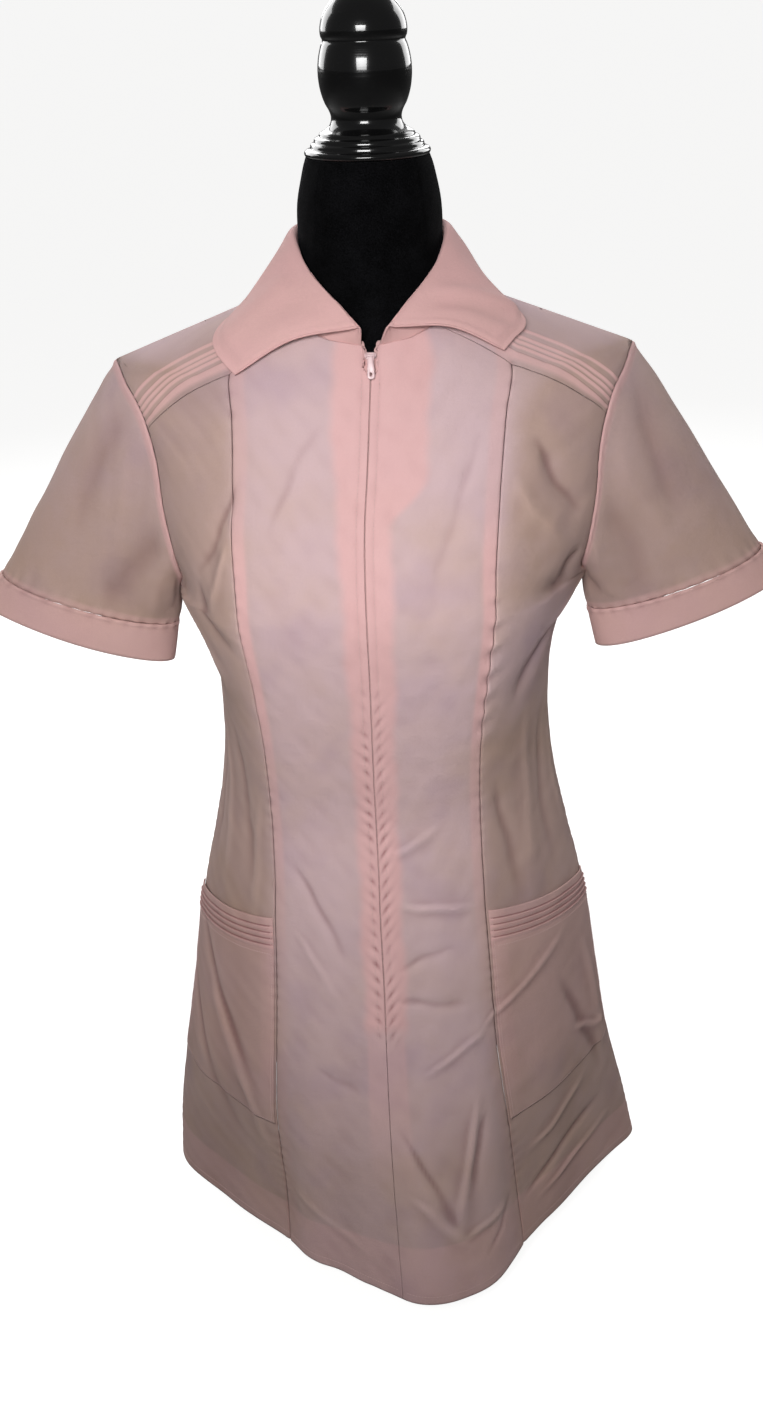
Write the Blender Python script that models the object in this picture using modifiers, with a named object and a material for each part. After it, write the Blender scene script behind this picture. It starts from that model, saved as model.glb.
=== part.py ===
# Nurse uniform top with a zip front, on a table-top dress form with a turned neck cap.
# Metres, +Z up, the front faces -Y and +X is the wearer's left.
# The origin is the centre of the stand's underside.
from math import atan2, cos, pi, radians, sin

import bmesh
import bpy
from mathutils import Matrix, Vector

# Cloth and seams
CLOTH = 0.0013
PANEL_WIDTH = 0.09
SEAM = 0.0003
HEM_Z = 0.030
ARMPIT_Z = 0.631
TIP_Z = 0.800
NECK_SIDE_Z = 0.852
NECK_SIDE_X = 0.055
TIP_X = 0.193
YOKE_ARMHOLE_Z = 0.762
BACK_SEAM_Z = 0.826

# Zip
ZIP_END_Z = 0.273
ZIP_TOP_Z = 0.8165
ZIP_SLIT = 0.0016
SLIDER_SLIT = 0.0050
TAPE_HALF = 0.010
TAPE_THICK = 0.0008
COIL_HALF = 0.0011
SLIDER_SIZE = (0.0078, 0.0034, 0.0095)
SLIDER_PROUD = 0.0020
SLIDER_Z = 0.8125
EAR_SIZE = (0.0009, 0.0030, 0.0034)
HINGE_PROUD = 0.0012
HINGE_RISE = 0.0020
SLIDER_EDGE = 0.0005
PULL_CORNER = 0.0014
PULL_LENGTH = 0.0165
PULL_WIDTH = 0.0044
PULL_THICK = 0.0010
KNUCKLE_RADIUS = 0.0008

# Tucks
YOKE_TUCKS = 5
POCKET_TUCKS = 4
TUCK_HEIGHT = 0.0009

# Pockets
POCKET_BOTTOM_Z = 0.165
POCKET_TOP_SEAM_Z = 0.368
POCKET_TOP_SIDE_Z = 0.345
POCKET_BAND = 0.030
POCKET_GAPE = 0.0026

# Stand
BASE_RADIUS = 0.120
BASE_HEIGHT = 0.018
POLE_RADIUS = 0.014
TORSO_BOTTOM_Z = 0.203
NECK_TOP_Z = 0.938

# Garment sections: z, shift of the front, front_y, princess_x, princess_y, back_x, back_y, rear_y
BODY = (
    (0.030, -0.004, -0.188, 0.1050, -0.1315, 0.105, 0.125, 0.150),
    (0.085, -0.006, -0.1775, 0.1025, -0.1275, 0.102, 0.121, 0.143),
    (0.170, -0.009, -0.166, 0.0990, -0.127, 0.098, 0.116, 0.132),
    (0.245, -0.010, -0.149, 0.0925, -0.122, 0.093, 0.111, 0.124),
    (0.312, -0.010, -0.137, 0.0885, -0.117, 0.088, 0.106, 0.115),
    (0.371, -0.011, -0.126, 0.0855, -0.109, 0.084, 0.098, 0.104),
    (0.410, -0.011, -0.118, 0.0838, -0.103, 0.081, 0.090, 0.095),
    (0.454, -0.0115, -0.112, 0.0830, -0.098, 0.080, 0.084, 0.088),
    (0.500, -0.012, -0.118, 0.0830, -0.104, 0.081, 0.086, 0.089),
    (0.540, -0.012, -0.125, 0.0845, -0.112, 0.084, 0.090, 0.093),
    (0.590, -0.012, -0.133, 0.0890, -0.121, 0.090, 0.095, 0.098),
    (0.631, -0.0125, -0.1368, 0.0935, -0.125, 0.095, 0.098, 0.102),
    (0.665, -0.0125, -0.1300, 0.0945, -0.118, 0.098, 0.101, 0.104),
    (0.700, -0.0115, -0.118, 0.0960, -0.108, 0.100, 0.102, 0.105),
    (0.740, -0.008, -0.105, 0.0960, -0.097, 0.101, 0.099, 0.103),
    (0.773, -0.0055, -0.095, 0.0975, -0.083, 0.101, 0.090, 0.098),
    (0.800, -0.0035, -0.085, 0.1005, -0.068, 0.098, 0.073, 0.088),
    (0.820, -0.003, -0.077, 0.0940, -0.055, 0.090, 0.057, 0.076),
    (0.840, -0.002, -0.067, 0.0660, -0.040, 0.067, 0.041, 0.062),
    (0.852, -0.001, -0.058, 0.0480, -0.030, 0.050, 0.032, 0.052),
)

# Side seam below the armpit: z, side_x, side_y, sway towards the wearer's left
SIDE = (
    (0.030, 0.2198, 0.004, 0.006),
    (0.085, 0.2115, 0.000, 0.003),
    (0.170, 0.1945, -0.002, 0.000),
    (0.245, 0.1810, -0.003, 0.000),
    (0.312, 0.1700, -0.004, 0.000),
    (0.353, 0.1620, -0.005, 0.000),
    (0.394, 0.1520, -0.005, 0.000),
    (0.434, 0.1430, -0.005, 0.000),
    (0.470, 0.1370, -0.005, 0.000),
    (0.510, 0.1338, -0.005, 0.000),
    (0.555, 0.1345, -0.005, 0.000),
    (0.590, 0.1405, -0.006, 0.000),
    (0.615, 0.1510, -0.006, 0.000),
    (0.631, 0.1610, -0.006, 0.000),
)

# Armhole, from the shoulder tip (turn 0) down to the armpit (turn 1):
# turn, front_x, front_y, back_x, back_y
ARMHOLE = (
    (0.00, 0.1930, 0.000, 0.1930, 0.000),
    (0.15, 0.1830, -0.030, 0.1850, 0.030),
    (0.25, 0.1710, -0.051, 0.1755, 0.052),
    (0.40, 0.1620, -0.061, 0.1675, 0.066),
    (0.55, 0.1600, -0.062, 0.1640, 0.068),
    (0.70, 0.1560, -0.058, 0.1600, 0.060),
    (0.85, 0.1545, -0.038, 0.1585, 0.036),
    (1.00, 0.1610, -0.006, 0.1610, -0.006),
)

# Shares across a side front panel; the yoke that joins its top has the same
SIDE_FRONT_SHARES = (0.0, 0.24, 0.48, 0.72, 0.94, 1.0)

# Where the armhole's corners lie, as turns from tip to armpit; panels and sleeves share them
ARMHOLE_CORNERS = (0.0, 0.08, 0.16, 0.24, 0.3165, 0.39, 0.48, 0.58, 0.68, 0.78, 0.86, 0.93, 1.0)

# Large folds: place round the body (0 front, 1 princess seam, 2 side, 4 rear), half_width, top_z,
# bottom_z, depth at the hem
FOLDS = (
    (0.50, 0.76, 0.300, 0.030, 0.0275),
    (1.60, 0.40, 0.260, 0.030, -0.0148),
    (-1.28, 0.65, 0.230, 0.030, -0.0102),
    (-0.49, 0.35, 0.250, 0.030, -0.0047),
    (3.05, 0.45, 0.320, 0.030, 0.009),
    (-3.05, 0.45, 0.320, 0.030, 0.009),
    (3.60, 0.35, 0.280, 0.030, -0.006),
    (-3.60, 0.35, 0.280, 0.030, -0.006),
)

# Neckline and the top edge of the front: place round the body, z
NECKLINE = (
    (0.0, 0.8205), (0.3, 0.825), (0.55, 0.832), (1.0, 0.846), (1.5, 0.8505), (2.0, 0.852), (4.0, 0.852),
)
FRONT_TOP = ((0.0, 0.8205), (0.3, 0.825), (0.55, 0.832), (1.0, 0.802), (2.0, YOKE_ARMHOLE_Z))

# Sleeve: rings where the cuff starts and ends, as a middle, a half width and a half depth
CUFF_TOP = {"middle": (0.232, -0.012, 0.6155), "half": (0.0680, 0.004, 0.0213), "depth": 0.0323}
CUFF_HEM = {"middle": (0.2477, -0.014, 0.5915), "half": (0.0773, 0.006, 0.0282), "depth": 0.0333}

# The sleeve's gap to the armhole: all round, and what is added under the arm and at the tip,
# and how far the underarm stands clear of the body
SLEEVE_GAP = 0.0005
UNDERARM_GAP = 0.0036
TIP_GAP = 0.0012
UNDERARM_EASE = 0.0012

# A cuff is double cloth and stands a little proud of its sleeve
CUFF_THICK = 0.0024
CUFF_PROUD = 0.0009

# Collar: along from the centre back (0) to the front end (1), neck_around, the roll line's x, y and z,
# and the leaf's edge_around, edge_z and edge_lift
COLLAR = (
    (0.00, 4.00, 0.0000, 0.0605, 0.892, 4.00, 0.842, 0.0030),
    (0.18, 3.40, 0.0330, 0.0500, 0.891, 3.30, 0.841, 0.0030),
    (0.34, 2.70, 0.0515, 0.0260, 0.889, 2.55, 0.8425, 0.0030),
    (0.46, 2.00, 0.0560, 0.0000, 0.888, 2.00, 0.8425, 0.0030),
    (0.58, 1.40, 0.0535, -0.0200, 0.881, 1.62, 0.8355, 0.0035),
    (0.70, 0.95, 0.0470, -0.0380, 0.870, 1.42, 0.8265, 0.0040),
    (0.80, 0.65, 0.0370, -0.0540, 0.860, 1.22, 0.8170, 0.0045),
    (0.90, 0.35, 0.0230, -0.0700, 0.848, 1.06, 0.8090, 0.0045),
    (1.00, 0.07, 0.0105, -0.0815, 0.835, 0.93, 0.8010, 0.0045),
)

# Collar: seam inset, roll radius and reach, bow of the leaf's front edge, puff of the leaf,
# and how far the left point stands above the right one
COLLAR_INSET = 0.0006
ROLL_RADIUS = 0.0022
ROLL_REACH = 0.0030
LEAF_RISE = 0.002
LEAF_BOW = 0.006
LEAF_PUFF = 0.0010
POINT_RISE = 0.009

# Dress form: z, front_y, princess_x, princess_y, side_x, back_x, back_y, rear_y
FORM = (
    (0.203, -0.098, 0.062, -0.086, 0.142, 0.060, 0.086, 0.094),
    (0.209, -0.107, 0.069, -0.094, 0.151, 0.067, 0.094, 0.102),
    (0.225, -0.111, 0.073, -0.098, 0.156, 0.071, 0.097, 0.106),
    (0.265, -0.112, 0.075, -0.100, 0.158, 0.073, 0.097, 0.106),
    (0.353, -0.104, 0.074, -0.092, 0.147, 0.071, 0.087, 0.095),
    (0.410, -0.092, 0.071, -0.081, 0.130, 0.070, 0.078, 0.084),
    (0.454, -0.085, 0.068, -0.074, 0.118, 0.068, 0.070, 0.076),
    (0.500, -0.092, 0.070, -0.081, 0.117, 0.070, 0.073, 0.079),
    (0.545, -0.106, 0.078, -0.098, 0.121, 0.075, 0.079, 0.084),
    (0.590, -0.120, 0.084, -0.112, 0.130, 0.083, 0.085, 0.090),
    (0.620, -0.122, 0.086, -0.116, 0.137, 0.087, 0.089, 0.093),
    (0.655, -0.117, 0.087, -0.110, 0.144, 0.090, 0.092, 0.096),
    (0.700, -0.109, 0.088, -0.098, 0.148, 0.093, 0.094, 0.098),
    (0.740, -0.097, 0.089, -0.088, 0.152, 0.094, 0.091, 0.095),
    (0.773, -0.087, 0.090, -0.074, 0.158, 0.093, 0.081, 0.089),
    (0.791, -0.0805, 0.091, -0.066, 0.166, 0.092, 0.072, 0.083),
    (0.800, -0.077, 0.091, -0.060, 0.171, 0.090, 0.0655, 0.079),
    (0.806, -0.075, 0.089, -0.056, 0.167, 0.088, 0.061, 0.0765),
    (0.820, -0.069, 0.083, -0.048, 0.1310, 0.080, 0.048, 0.067),
    (0.835, -0.0605, 0.063, -0.038, 0.0925, 0.063, 0.039, 0.059),
    (0.846, -0.0545, 0.045, -0.0310, 0.0600, 0.0455, 0.0305, 0.0505),
    (0.852, -0.052, 0.0385, -0.0325, 0.0525, 0.039, 0.0320, 0.0480),
    (0.870, -0.0510, 0.0375, -0.0345, 0.0525, 0.0380, 0.0345, 0.0495),
    (0.905, -0.0495, 0.0368, -0.0338, 0.0518, 0.0372, 0.0343, 0.0495),
    (0.930, -0.0455, 0.0332, -0.0314, 0.0468, 0.0332, 0.0318, 0.0455),
    (0.938, -0.0432, 0.0310, -0.0301, 0.0441, 0.0310, 0.0306, 0.0432),
)

# Turned neck cap: radius and height above its seat, from the rim up
CAP_PROFILE = (
    (0.0440, 0.0000), (0.0448, 0.0022), (0.0440, 0.0044), (0.0402, 0.0070), (0.0376, 0.0110),
    (0.0340, 0.0142), (0.0300, 0.0172), (0.0264, 0.0200), (0.0249, 0.0240), (0.0256, 0.0290),
    (0.0284, 0.0340), (0.0310, 0.0415), (0.0325, 0.0500), (0.0327, 0.0565), (0.0318, 0.0645),
    (0.0302, 0.0712), (0.0289, 0.0750), (0.0300, 0.0785), (0.0300, 0.0830), (0.0283, 0.0898),
    (0.0243, 0.0964), (0.0178, 0.1032), (0.0100, 0.1086), (0.0040, 0.1110),
)

# Colour (linear), roughness and metallic value of each material
MATERIALS = {
    "pink_cloth": ((0.52, 0.33, 0.32), 0.85, 0.0),
    "black_velvet": ((0.006, 0.006, 0.007), 0.95, 0.0),
    "black_lacquer": ((0.004, 0.004, 0.004), 0.12, 0.0),
    "black_metal": ((0.012, 0.012, 0.013), 0.40, 0.8),
    "pink_zip": ((0.58, 0.36, 0.36), 0.60, 0.0),
    "pink_enamel": ((0.68, 0.48, 0.48), 0.30, 0.0),
}


def clear_scene():
    for item in list(bpy.data.objects):
        bpy.data.objects.remove(item, do_unlink=True)


def new_collection(name):
    group = bpy.data.collections.new(name)
    bpy.context.scene.collection.children.link(group)
    return group


def make_material(name):
    colour, roughness, metallic = MATERIALS[name]
    material = bpy.data.materials.new(name)
    material.use_nodes = True
    shader = material.node_tree.nodes["Principled BSDF"]
    shader.inputs["Base Color"].default_value = (*colour, 1.0)
    shader.inputs["Roughness"].default_value = roughness
    shader.inputs["Metallic"].default_value = metallic
    return material


def smoothstep(low, high, value):
    # 0 at low and 1 at high, whichever of them is the larger.
    x = min(max((value - low) / (high - low), 0.0), 1.0)
    return x * x * (3 - 2 * x)


def mix(a, b, t):
    return a + (b - a) * t


def hermite(p1, p2, m1, m2, t):
    return (
        (2 * t**3 - 3 * t**2 + 1) * p1
        + (t**3 - 2 * t**2 + t) * m1
        + (3 * t**2 - 2 * t**3) * p2
        + (t**3 - t**2) * m2
    )


def row_at(table, key):
    # One row of a table, read smoothly between its rows.
    key = min(max(key, table[0][0]), table[-1][0])
    i = 0
    while i < len(table) - 2 and key > table[i + 1][0]:
        i += 1
    low = table[i]
    high = table[i + 1]
    before = table[max(i - 1, 0)]
    after = table[min(i + 2, len(table) - 1)]
    step = high[0] - low[0]
    t = (key - low[0]) / step
    values = []
    for c in range(1, len(low)):
        m1 = (high[c] - before[c]) / (high[0] - before[0]) * step
        m2 = (after[c] - low[c]) / (after[0] - low[0]) * step
        values.append(hermite(low[c], high[c], m1, m2, t))
    return values


def line_at(table, key):
    # The second column of a table, read straight between its rows.
    for low, high in zip(table, table[1:]):
        if key <= high[0]:
            return mix(low[1], high[1], (key - low[0]) / (high[0] - low[0]))
    return table[-1][1]


def armhole_turn(z):
    # 0 at the shoulder tip, 1 at the armpit; even steps of turn go evenly round the armhole.
    middle = (TIP_Z + ARMPIT_Z) / 2
    reach = (TIP_Z - ARMPIT_Z) / 2
    level = min(max((z - middle) / reach, -1.0), 1.0)
    return atan2((1 - level * level) ** 0.5, level) / pi


def armhole_height(turn):
    return (TIP_Z + ARMPIT_Z) / 2 + (TIP_Z - ARMPIT_Z) / 2 * cos(pi * turn)


def armhole_corner(turn, sign, back):
    front_x, front_y, back_x, back_y = row_at(ARMHOLE, turn)
    return Vector((sign * back_x, back_y)) if back else Vector((sign * front_x, front_y))


def armhole_edge(z, sign, back):
    # The armhole runs straight between its corners, so every piece on it meets the same line.
    turn = armhole_turn(z)
    for low, high in zip(ARMHOLE_CORNERS, ARMHOLE_CORNERS[1:]):
        if turn <= high:
            share = (z - armhole_height(low)) / (armhole_height(high) - armhole_height(low))
            return mix(armhole_corner(low, sign, back), armhole_corner(high, sign, back), share)
    return armhole_corner(1.0, sign, back)


def side_at(z, sign, back):
    if z <= ARMPIT_Z:
        side_x, side_y, sway = row_at(SIDE, z)
        return Vector((sign * side_x + sway, side_y))
    if z <= TIP_Z:
        return armhole_edge(z, sign, back)
    along = (z - TIP_Z) / (NECK_SIDE_Z - TIP_Z)
    return Vector((sign * mix(TIP_X, NECK_SIDE_X, along), 0.0))


def arc_point(points, t):
    # A smooth curve through the middle two of four plan points.
    p0, p1, p2, p3 = points
    chord = max((p2 - p1).length, 1e-6)
    slopes = []
    for before, here, after in ((p0, p1, p2), (p1, p2, p3)):
        d1 = max((here - before).length, 1e-6)
        d2 = max((after - here).length, 1e-6)
        slopes.append(((here - before) * (d2 / d1) + (after - here) * (d1 / d2)) * (chord / (d1 + d2)))
    return hermite(p1, p2, slopes[0], slopes[1], t)


def ring_point(around, front, princess, side_front, side_back, back, rear, shift):
    # One point of a closed section: around is 0 at the front, 1, 2 (side), 3 and 4 at the rear.
    sign = 1 if around >= 0 else -1
    place = abs(around)
    near = Vector((sign * princess[0] + shift, princess[1]))
    far = Vector((-sign * princess[0] + shift, princess[1]))
    near_back = Vector((sign * back[0], back[1]))
    far_back = Vector((-sign * back[0], back[1]))
    if place <= 1:
        return arc_point((far, Vector((shift, front)), near, side_front), place)
    if place <= 2:
        return arc_point((Vector((shift, front)), near, side_front, near_back), place - 1)
    if place <= 3:
        return arc_point((near, side_back, near_back, Vector((0.0, rear))), place - 2)
    return arc_point((side_back, near_back, Vector((0.0, rear)), far_back), place - 3)


def wrap(around):
    return around - 8 if around > 4 else around


def garment_base(around, z):
    around = wrap(around)
    sign = 1 if around >= 0 else -1
    shift, front, px, py, bx, by, rear = row_at(BODY, z)
    side_front = side_at(z, sign, False)
    side_back = side_at(z, sign, True)
    return ring_point(around, front, (px, py), side_front, side_back, (bx, by), rear, shift)


def fold_depth(around, z):
    around = wrap(around)
    depth = 0.0
    for place, half, top, bottom, amount in FOLDS:
        across = max(0.0, 1 - ((around - place) / half) ** 2)
        depth += amount * across**2 * smoothstep(top, bottom, z)
    return depth


def garment_point(around, z):
    plan = garment_base(around, z)
    depth = fold_depth(around, z)
    if depth:
        step = 0.01
        run = garment_base(around + step, z) - garment_base(around - step, z)
        out = Vector((run.y, -run.x)).normalized()
        if out.dot(plan) < 0:
            out = -out
        plan = plan + out * depth
    return Vector((plan.x, plan.y, z))


def garment_normal(around, z):
    step_a = 0.10 if z > TIP_Z - 0.001 else 0.01
    step_z = 0.0015
    place = wrap(around)
    if abs(abs(place) - 2) < step_a and ARMPIT_Z < z < TIP_Z:
        # At the armhole the slope is read on the piece's own side.
        away = -1 if abs(place) < 2 else 1
        around_in = around + away * (1 if place >= 0 else -1) * 0.04
        run = garment_point(around_in, z) - garment_point(around, z)
    else:
        run = garment_point(around + step_a, z) - garment_point(around - step_a, z)
    low_z = z - step_z
    if z > TIP_Z - 0.001:
        low_z = max(z, TIP_Z)
    rise = garment_point(around, low_z + 2 * step_z) - garment_point(around, low_z)
    normal = run.cross(rise).normalized()
    middle = Vector((0.0, 0.0, min(z, 0.70)))
    return normal if normal.dot(garment_point(around, z) - middle) > 0 else -normal


def coons(bottom, top, left, right):
    # A patch between four edges, each given in places round the body and heights.
    corners = [Vector(bottom(0)), Vector(bottom(1)), Vector(top(0)), Vector(top(1))]

    def patch(s, t):
        ruled = mix(Vector(bottom(s)), Vector(top(s)), t) + mix(Vector(left(t)), Vector(right(t)), s)
        return ruled - mix(mix(corners[0], corners[1], s), mix(corners[2], corners[3], s), t)

    return patch


def add_object(name, mesh, material, group):
    data = bpy.data.meshes.new(name)
    bmesh.ops.recalc_face_normals(mesh, faces=mesh.faces[:])
    if mesh.calc_volume(signed=True) < 0:
        bmesh.ops.reverse_faces(mesh, faces=mesh.faces[:])
    mesh.to_mesh(data)
    mesh.free()
    data.shade_smooth()
    data.set_sharp_from_angle(angle=radians(40))
    data.materials.append(material)
    item = bpy.data.objects.new(name, data)
    group.objects.link(item)
    return item


def make_wall(name, columns, rows, place, material, group, closed=False):
    # A grid doubled into a wall; place gives each point's spot for the outer and the inner face.
    mesh = bmesh.new()
    across = len(columns) - 1
    up = len(rows) - 1
    bmesh.ops.create_grid(mesh, x_segments=across, y_segments=up, size=0.5)
    if closed:
        for vert in mesh.verts:
            turn = 2 * pi * (vert.co.x + 0.5)
            vert.co = Vector((cos(turn), sin(turn), vert.co.y))
        bmesh.ops.remove_doubles(mesh, verts=mesh.verts[:], dist=1e-5)
        bmesh.ops.recalc_face_normals(mesh, faces=mesh.faces[:])
    bmesh.ops.solidify(mesh, geom=mesh.faces[:], thickness=0.2)
    for vert in mesh.verts:
        if closed:
            inner = abs(Vector((vert.co.x, vert.co.y)).length - 1) > 0.05
            s = (atan2(vert.co.y, vert.co.x) / (2 * pi)) % 1.0
            t = vert.co.z + 0.5
        else:
            inner = abs(vert.co.z) > 0.05
            s = vert.co.x + 0.5
            t = vert.co.y + 0.5
        column = round(s * across)
        vert.co = place(columns[column], rows[round(t * up)], inner)
    return add_object(name, mesh, material, group)


def even(count):
    return [i / count for i in range(count + 1)]


def inset(value, margin):
    return margin + value * (1 - 2 * margin)


def front_rows():
    # Shares of the front's height, the same on both front panels so that their seam's levels match.
    span = line_at(FRONT_TOP, 0) - HEM_Z
    armpit = (ARMPIT_Z - HEM_Z) / (YOKE_ARMHOLE_Z - HEM_Z)
    zip_rows = [(ZIP_END_Z + step - HEM_Z) / span for step in (-0.004, 0.001, 0.006)]
    rows = [zip_rows[0] * i / 6 for i in range(6)] + zip_rows
    rows += [mix(zip_rows[2], armpit, i / 12) for i in range(1, 13)]
    for turn in (0.93, 0.86, 0.78, 0.68, 0.58, 0.48):
        rows.append((armhole_height(turn) - HEM_Z) / (YOKE_ARMHOLE_Z - HEM_Z))
    rows += [(SLIDER_Z - 0.013 - HEM_Z) / span, (SLIDER_Z - 0.007 - HEM_Z) / span, 1.0]
    return rows


def back_rows():
    armpit = (ARMPIT_Z - HEM_Z) / (TIP_Z - HEM_Z)
    rows = [armpit * i / 16 for i in range(17)]
    for turn in reversed(ARMHOLE_CORNERS[:-1]):
        rows.append((armhole_height(turn) - HEM_Z) / (TIP_Z - HEM_Z))
    return rows


def make_panel(name, patch, columns, rows, size, material, group, raised=None, oblique=1.0):
    # A cloth panel on the garment's surface, its edges drawn in by half a seam.
    # Where a seam runs obliquely to the rows near the top, oblique widens the margin there.
    end_margin = SEAM / 2 / size[1]

    def place(s, t, inner):
        side_margin = SEAM / 2 / size[0] * mix(1.0, oblique, smoothstep(0.92, 0.96, t))
        around, z = patch(inset(s, side_margin), inset(t, end_margin))
        out = -CLOTH if inner else (raised(s, t) if raised else 0.0)
        return garment_point(around, z) + garment_normal(around, z) * out

    return make_wall(name, columns, rows, place, material, group)


def slit_half(z):
    zip_part = ZIP_SLIT * smoothstep(ZIP_END_Z - 0.004, ZIP_END_Z + 0.006, z)
    slider_part = (SLIDER_SLIT - ZIP_SLIT) * smoothstep(SLIDER_Z - 0.013, SLIDER_Z - 0.007, z)
    return SEAM / 2 + zip_part + slider_part


def front_panel(sign, name, material, group):
    def patch(s, t):
        top = line_at(FRONT_TOP, s)
        z = mix(HEM_Z, top, t)
        slit = slit_half(z) / row_at(BODY, z)[2]
        return Vector((sign * min(max(s, slit), 1 - SEAM / 2 / PANEL_WIDTH), z))

    span = line_at(FRONT_TOP, 0) - HEM_Z

    def place(s, t, inner):
        around, z = patch(s, t * (1 - SEAM / 2 / span))
        out = -CLOTH if inner else 0.0
        return garment_point(around, z) + garment_normal(around, z) * out

    columns = (0.0, 0.12, 0.30, 0.45, 0.55, 0.70, 0.85, 1.0)
    return make_wall(name, columns, front_rows(), place, material, group)


def side_front_panel(sign, name, material, group):
    patch = coons(
        lambda s: (sign * (1 + s), HEM_Z),
        lambda s: (sign * (1 + s), line_at(FRONT_TOP, 1 + s)),
        lambda t: (sign, mix(HEM_Z, line_at(FRONT_TOP, 1), t)),
        lambda t: (sign * 2, mix(HEM_Z, YOKE_ARMHOLE_Z, t)),
    )
    return make_panel(name, patch, SIDE_FRONT_SHARES, front_rows(), (0.06, 0.75), material, group)


def tuck_ridge(t, first, last, count):
    # Height of the pin tucks across a band, each a steep ridge with its fold turned down.
    if not first < t < last:
        return 0.0
    phase = (t - first) / (last - first) * count % 1.0
    return TUCK_HEIGHT * (1 - phase) if phase > 0.02 else 0.0


def tuck_rows(first, last, count):
    # Three rows for each tuck: its foot, its lip and its back.
    step = (last - first) / count
    rows = []
    for i in range(count):
        rows += [first + i * step, first + (i + 0.16) * step, first + (i + 0.60) * step]
    return rows + [last]


def yoke_panel(sign, name, material, group):
    seam_neck = 0.55
    join = 0.56

    def bottom(s):
        if s < join:
            around = mix(2.0, 1.0, s / join)
        else:
            around = mix(1.0, seam_neck, (s - join) / (1 - join))
        return (sign * around, line_at(FRONT_TOP, around))

    def right(t):
        around = mix(seam_neck, 2.0, t)
        return (sign * around, line_at(NECKLINE, around))

    patch = coons(
        bottom,
        lambda s: (sign * 2, mix(TIP_Z, NECK_SIDE_Z, s)),
        lambda t: (sign * 2, mix(YOKE_ARMHOLE_Z, TIP_Z, t)),
        right,
    )
    first, last = 0.10, 0.66
    rows = [0.0, 0.05] + tuck_rows(first, last, YOKE_TUCKS)
    for turn in (0.16, 0.12, 0.08, 0.0):
        rows.append((armhole_height(turn) - YOKE_ARMHOLE_Z) / (TIP_Z - YOKE_ARMHOLE_Z))

    def raised(s, t):
        ends = smoothstep(0.0, 0.03, s)
        return tuck_ridge(t, first, last, YOKE_TUCKS) * ends

    columns = [join * (1 - s) for s in reversed(SIDE_FRONT_SHARES)]
    columns += [mix(join, 1.0, share) for share in (1 / 3, 2 / 3, 1.0)]
    return make_panel(name, patch, columns, rows, (0.13, 0.045), material, group, raised)


def back_turn(t):
    # How far the back princess seam has swung from the rear panel's edge on to the shoulder.
    return 1 - min((1 - t) / 0.06, 1.0) ** 0.5


def side_back_panel(sign, name, material, group):
    def patch(s, t):
        around = mix(2 + s, 2.0, back_turn(t))
        return Vector((sign * around, mix(HEM_Z, mix(TIP_Z, BACK_SEAM_Z, s), t)))

    return make_panel(name, patch, even(5), back_rows(), (0.08, 0.45), material, group, oblique=2.0)


def back_panel(name, material, group):
    shoulder = 0.25

    def top(s):
        if s < shoulder:
            return 2.0, mix(BACK_SEAM_Z, NECK_SIDE_Z, s / shoulder)
        if s > 1 - shoulder:
            return 6.0, mix(BACK_SEAM_Z, NECK_SIDE_Z, (1 - s) / shoulder)
        return mix(2.0, 6.0, (s - shoulder) / (1 - 2 * shoulder)), NECK_SIDE_Z

    def patch(s, t):
        around, z = top(s)
        return Vector((mix(3 + 2 * s, around, back_turn(t)), mix(HEM_Z, z, t)))

    return make_panel(name, patch, even(12), back_rows(), (0.22, 0.45), material, group, oblique=2.0)


def armhole_point(sign, turn):
    # turn runs 0 to 1 from the shoulder tip down the front, under the arm and up the back.
    fall = 2 * turn if turn <= 0.5 else 2 * (1 - turn)
    z = armhole_height(fall)
    plan = armhole_edge(z, sign, turn > 0.5)
    return Vector((plan.x, plan.y, z))


def armhole_normal(sign, turn):
    fall = 2 * turn if turn <= 0.5 else 2 * (1 - turn)
    place = 2 - 0.004 if turn <= 0.5 else 2 + 0.004
    return garment_normal(sign * place, armhole_height(fall))


def ring_columns():
    corners = [turn / 2 for turn in ARMHOLE_CORNERS]
    return corners + [1 - turn for turn in reversed(corners[:-1])]


def cuff_ring(ring, sign, turn):
    middle = Vector(ring["middle"])
    half = Vector(ring["half"])
    angle = 2 * pi * turn
    point = middle + half * cos(angle) + Vector((0.0, -ring["depth"] * sin(angle), 0.0))
    return Vector((sign * point.x, point.y, point.z))


def sleeve_surface(sign, turn, t):
    start = armhole_point(sign, turn)
    end = cuff_ring(CUFF_TOP, sign, turn)
    chord = end - start
    cap = max(0.0, cos(2 * pi * turn)) ** 0.8
    leave = chord * 0.68 + Vector((sign * 0.042, 0.0, 0.073)) * chord.length * cap
    axis = (Vector(CUFF_HEM["middle"]) - Vector(CUFF_TOP["middle"])).normalized()
    arrive = Vector((sign * axis.x, axis.y, axis.z)) * chord.length
    return hermite(start, end, leave, arrive, t)


def surface_normal(surface, turn, t, centre):
    step = 0.004
    run = surface((turn + step) % 1.0, t) - surface((turn - step) % 1.0, t)
    low = max(t - 0.02, 0.0)
    rise = surface(turn, low + 0.04) - surface(turn, low)
    normal = run.cross(rise).normalized()
    return normal if normal.dot(surface(turn, t) - centre) > 0 else -normal


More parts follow.
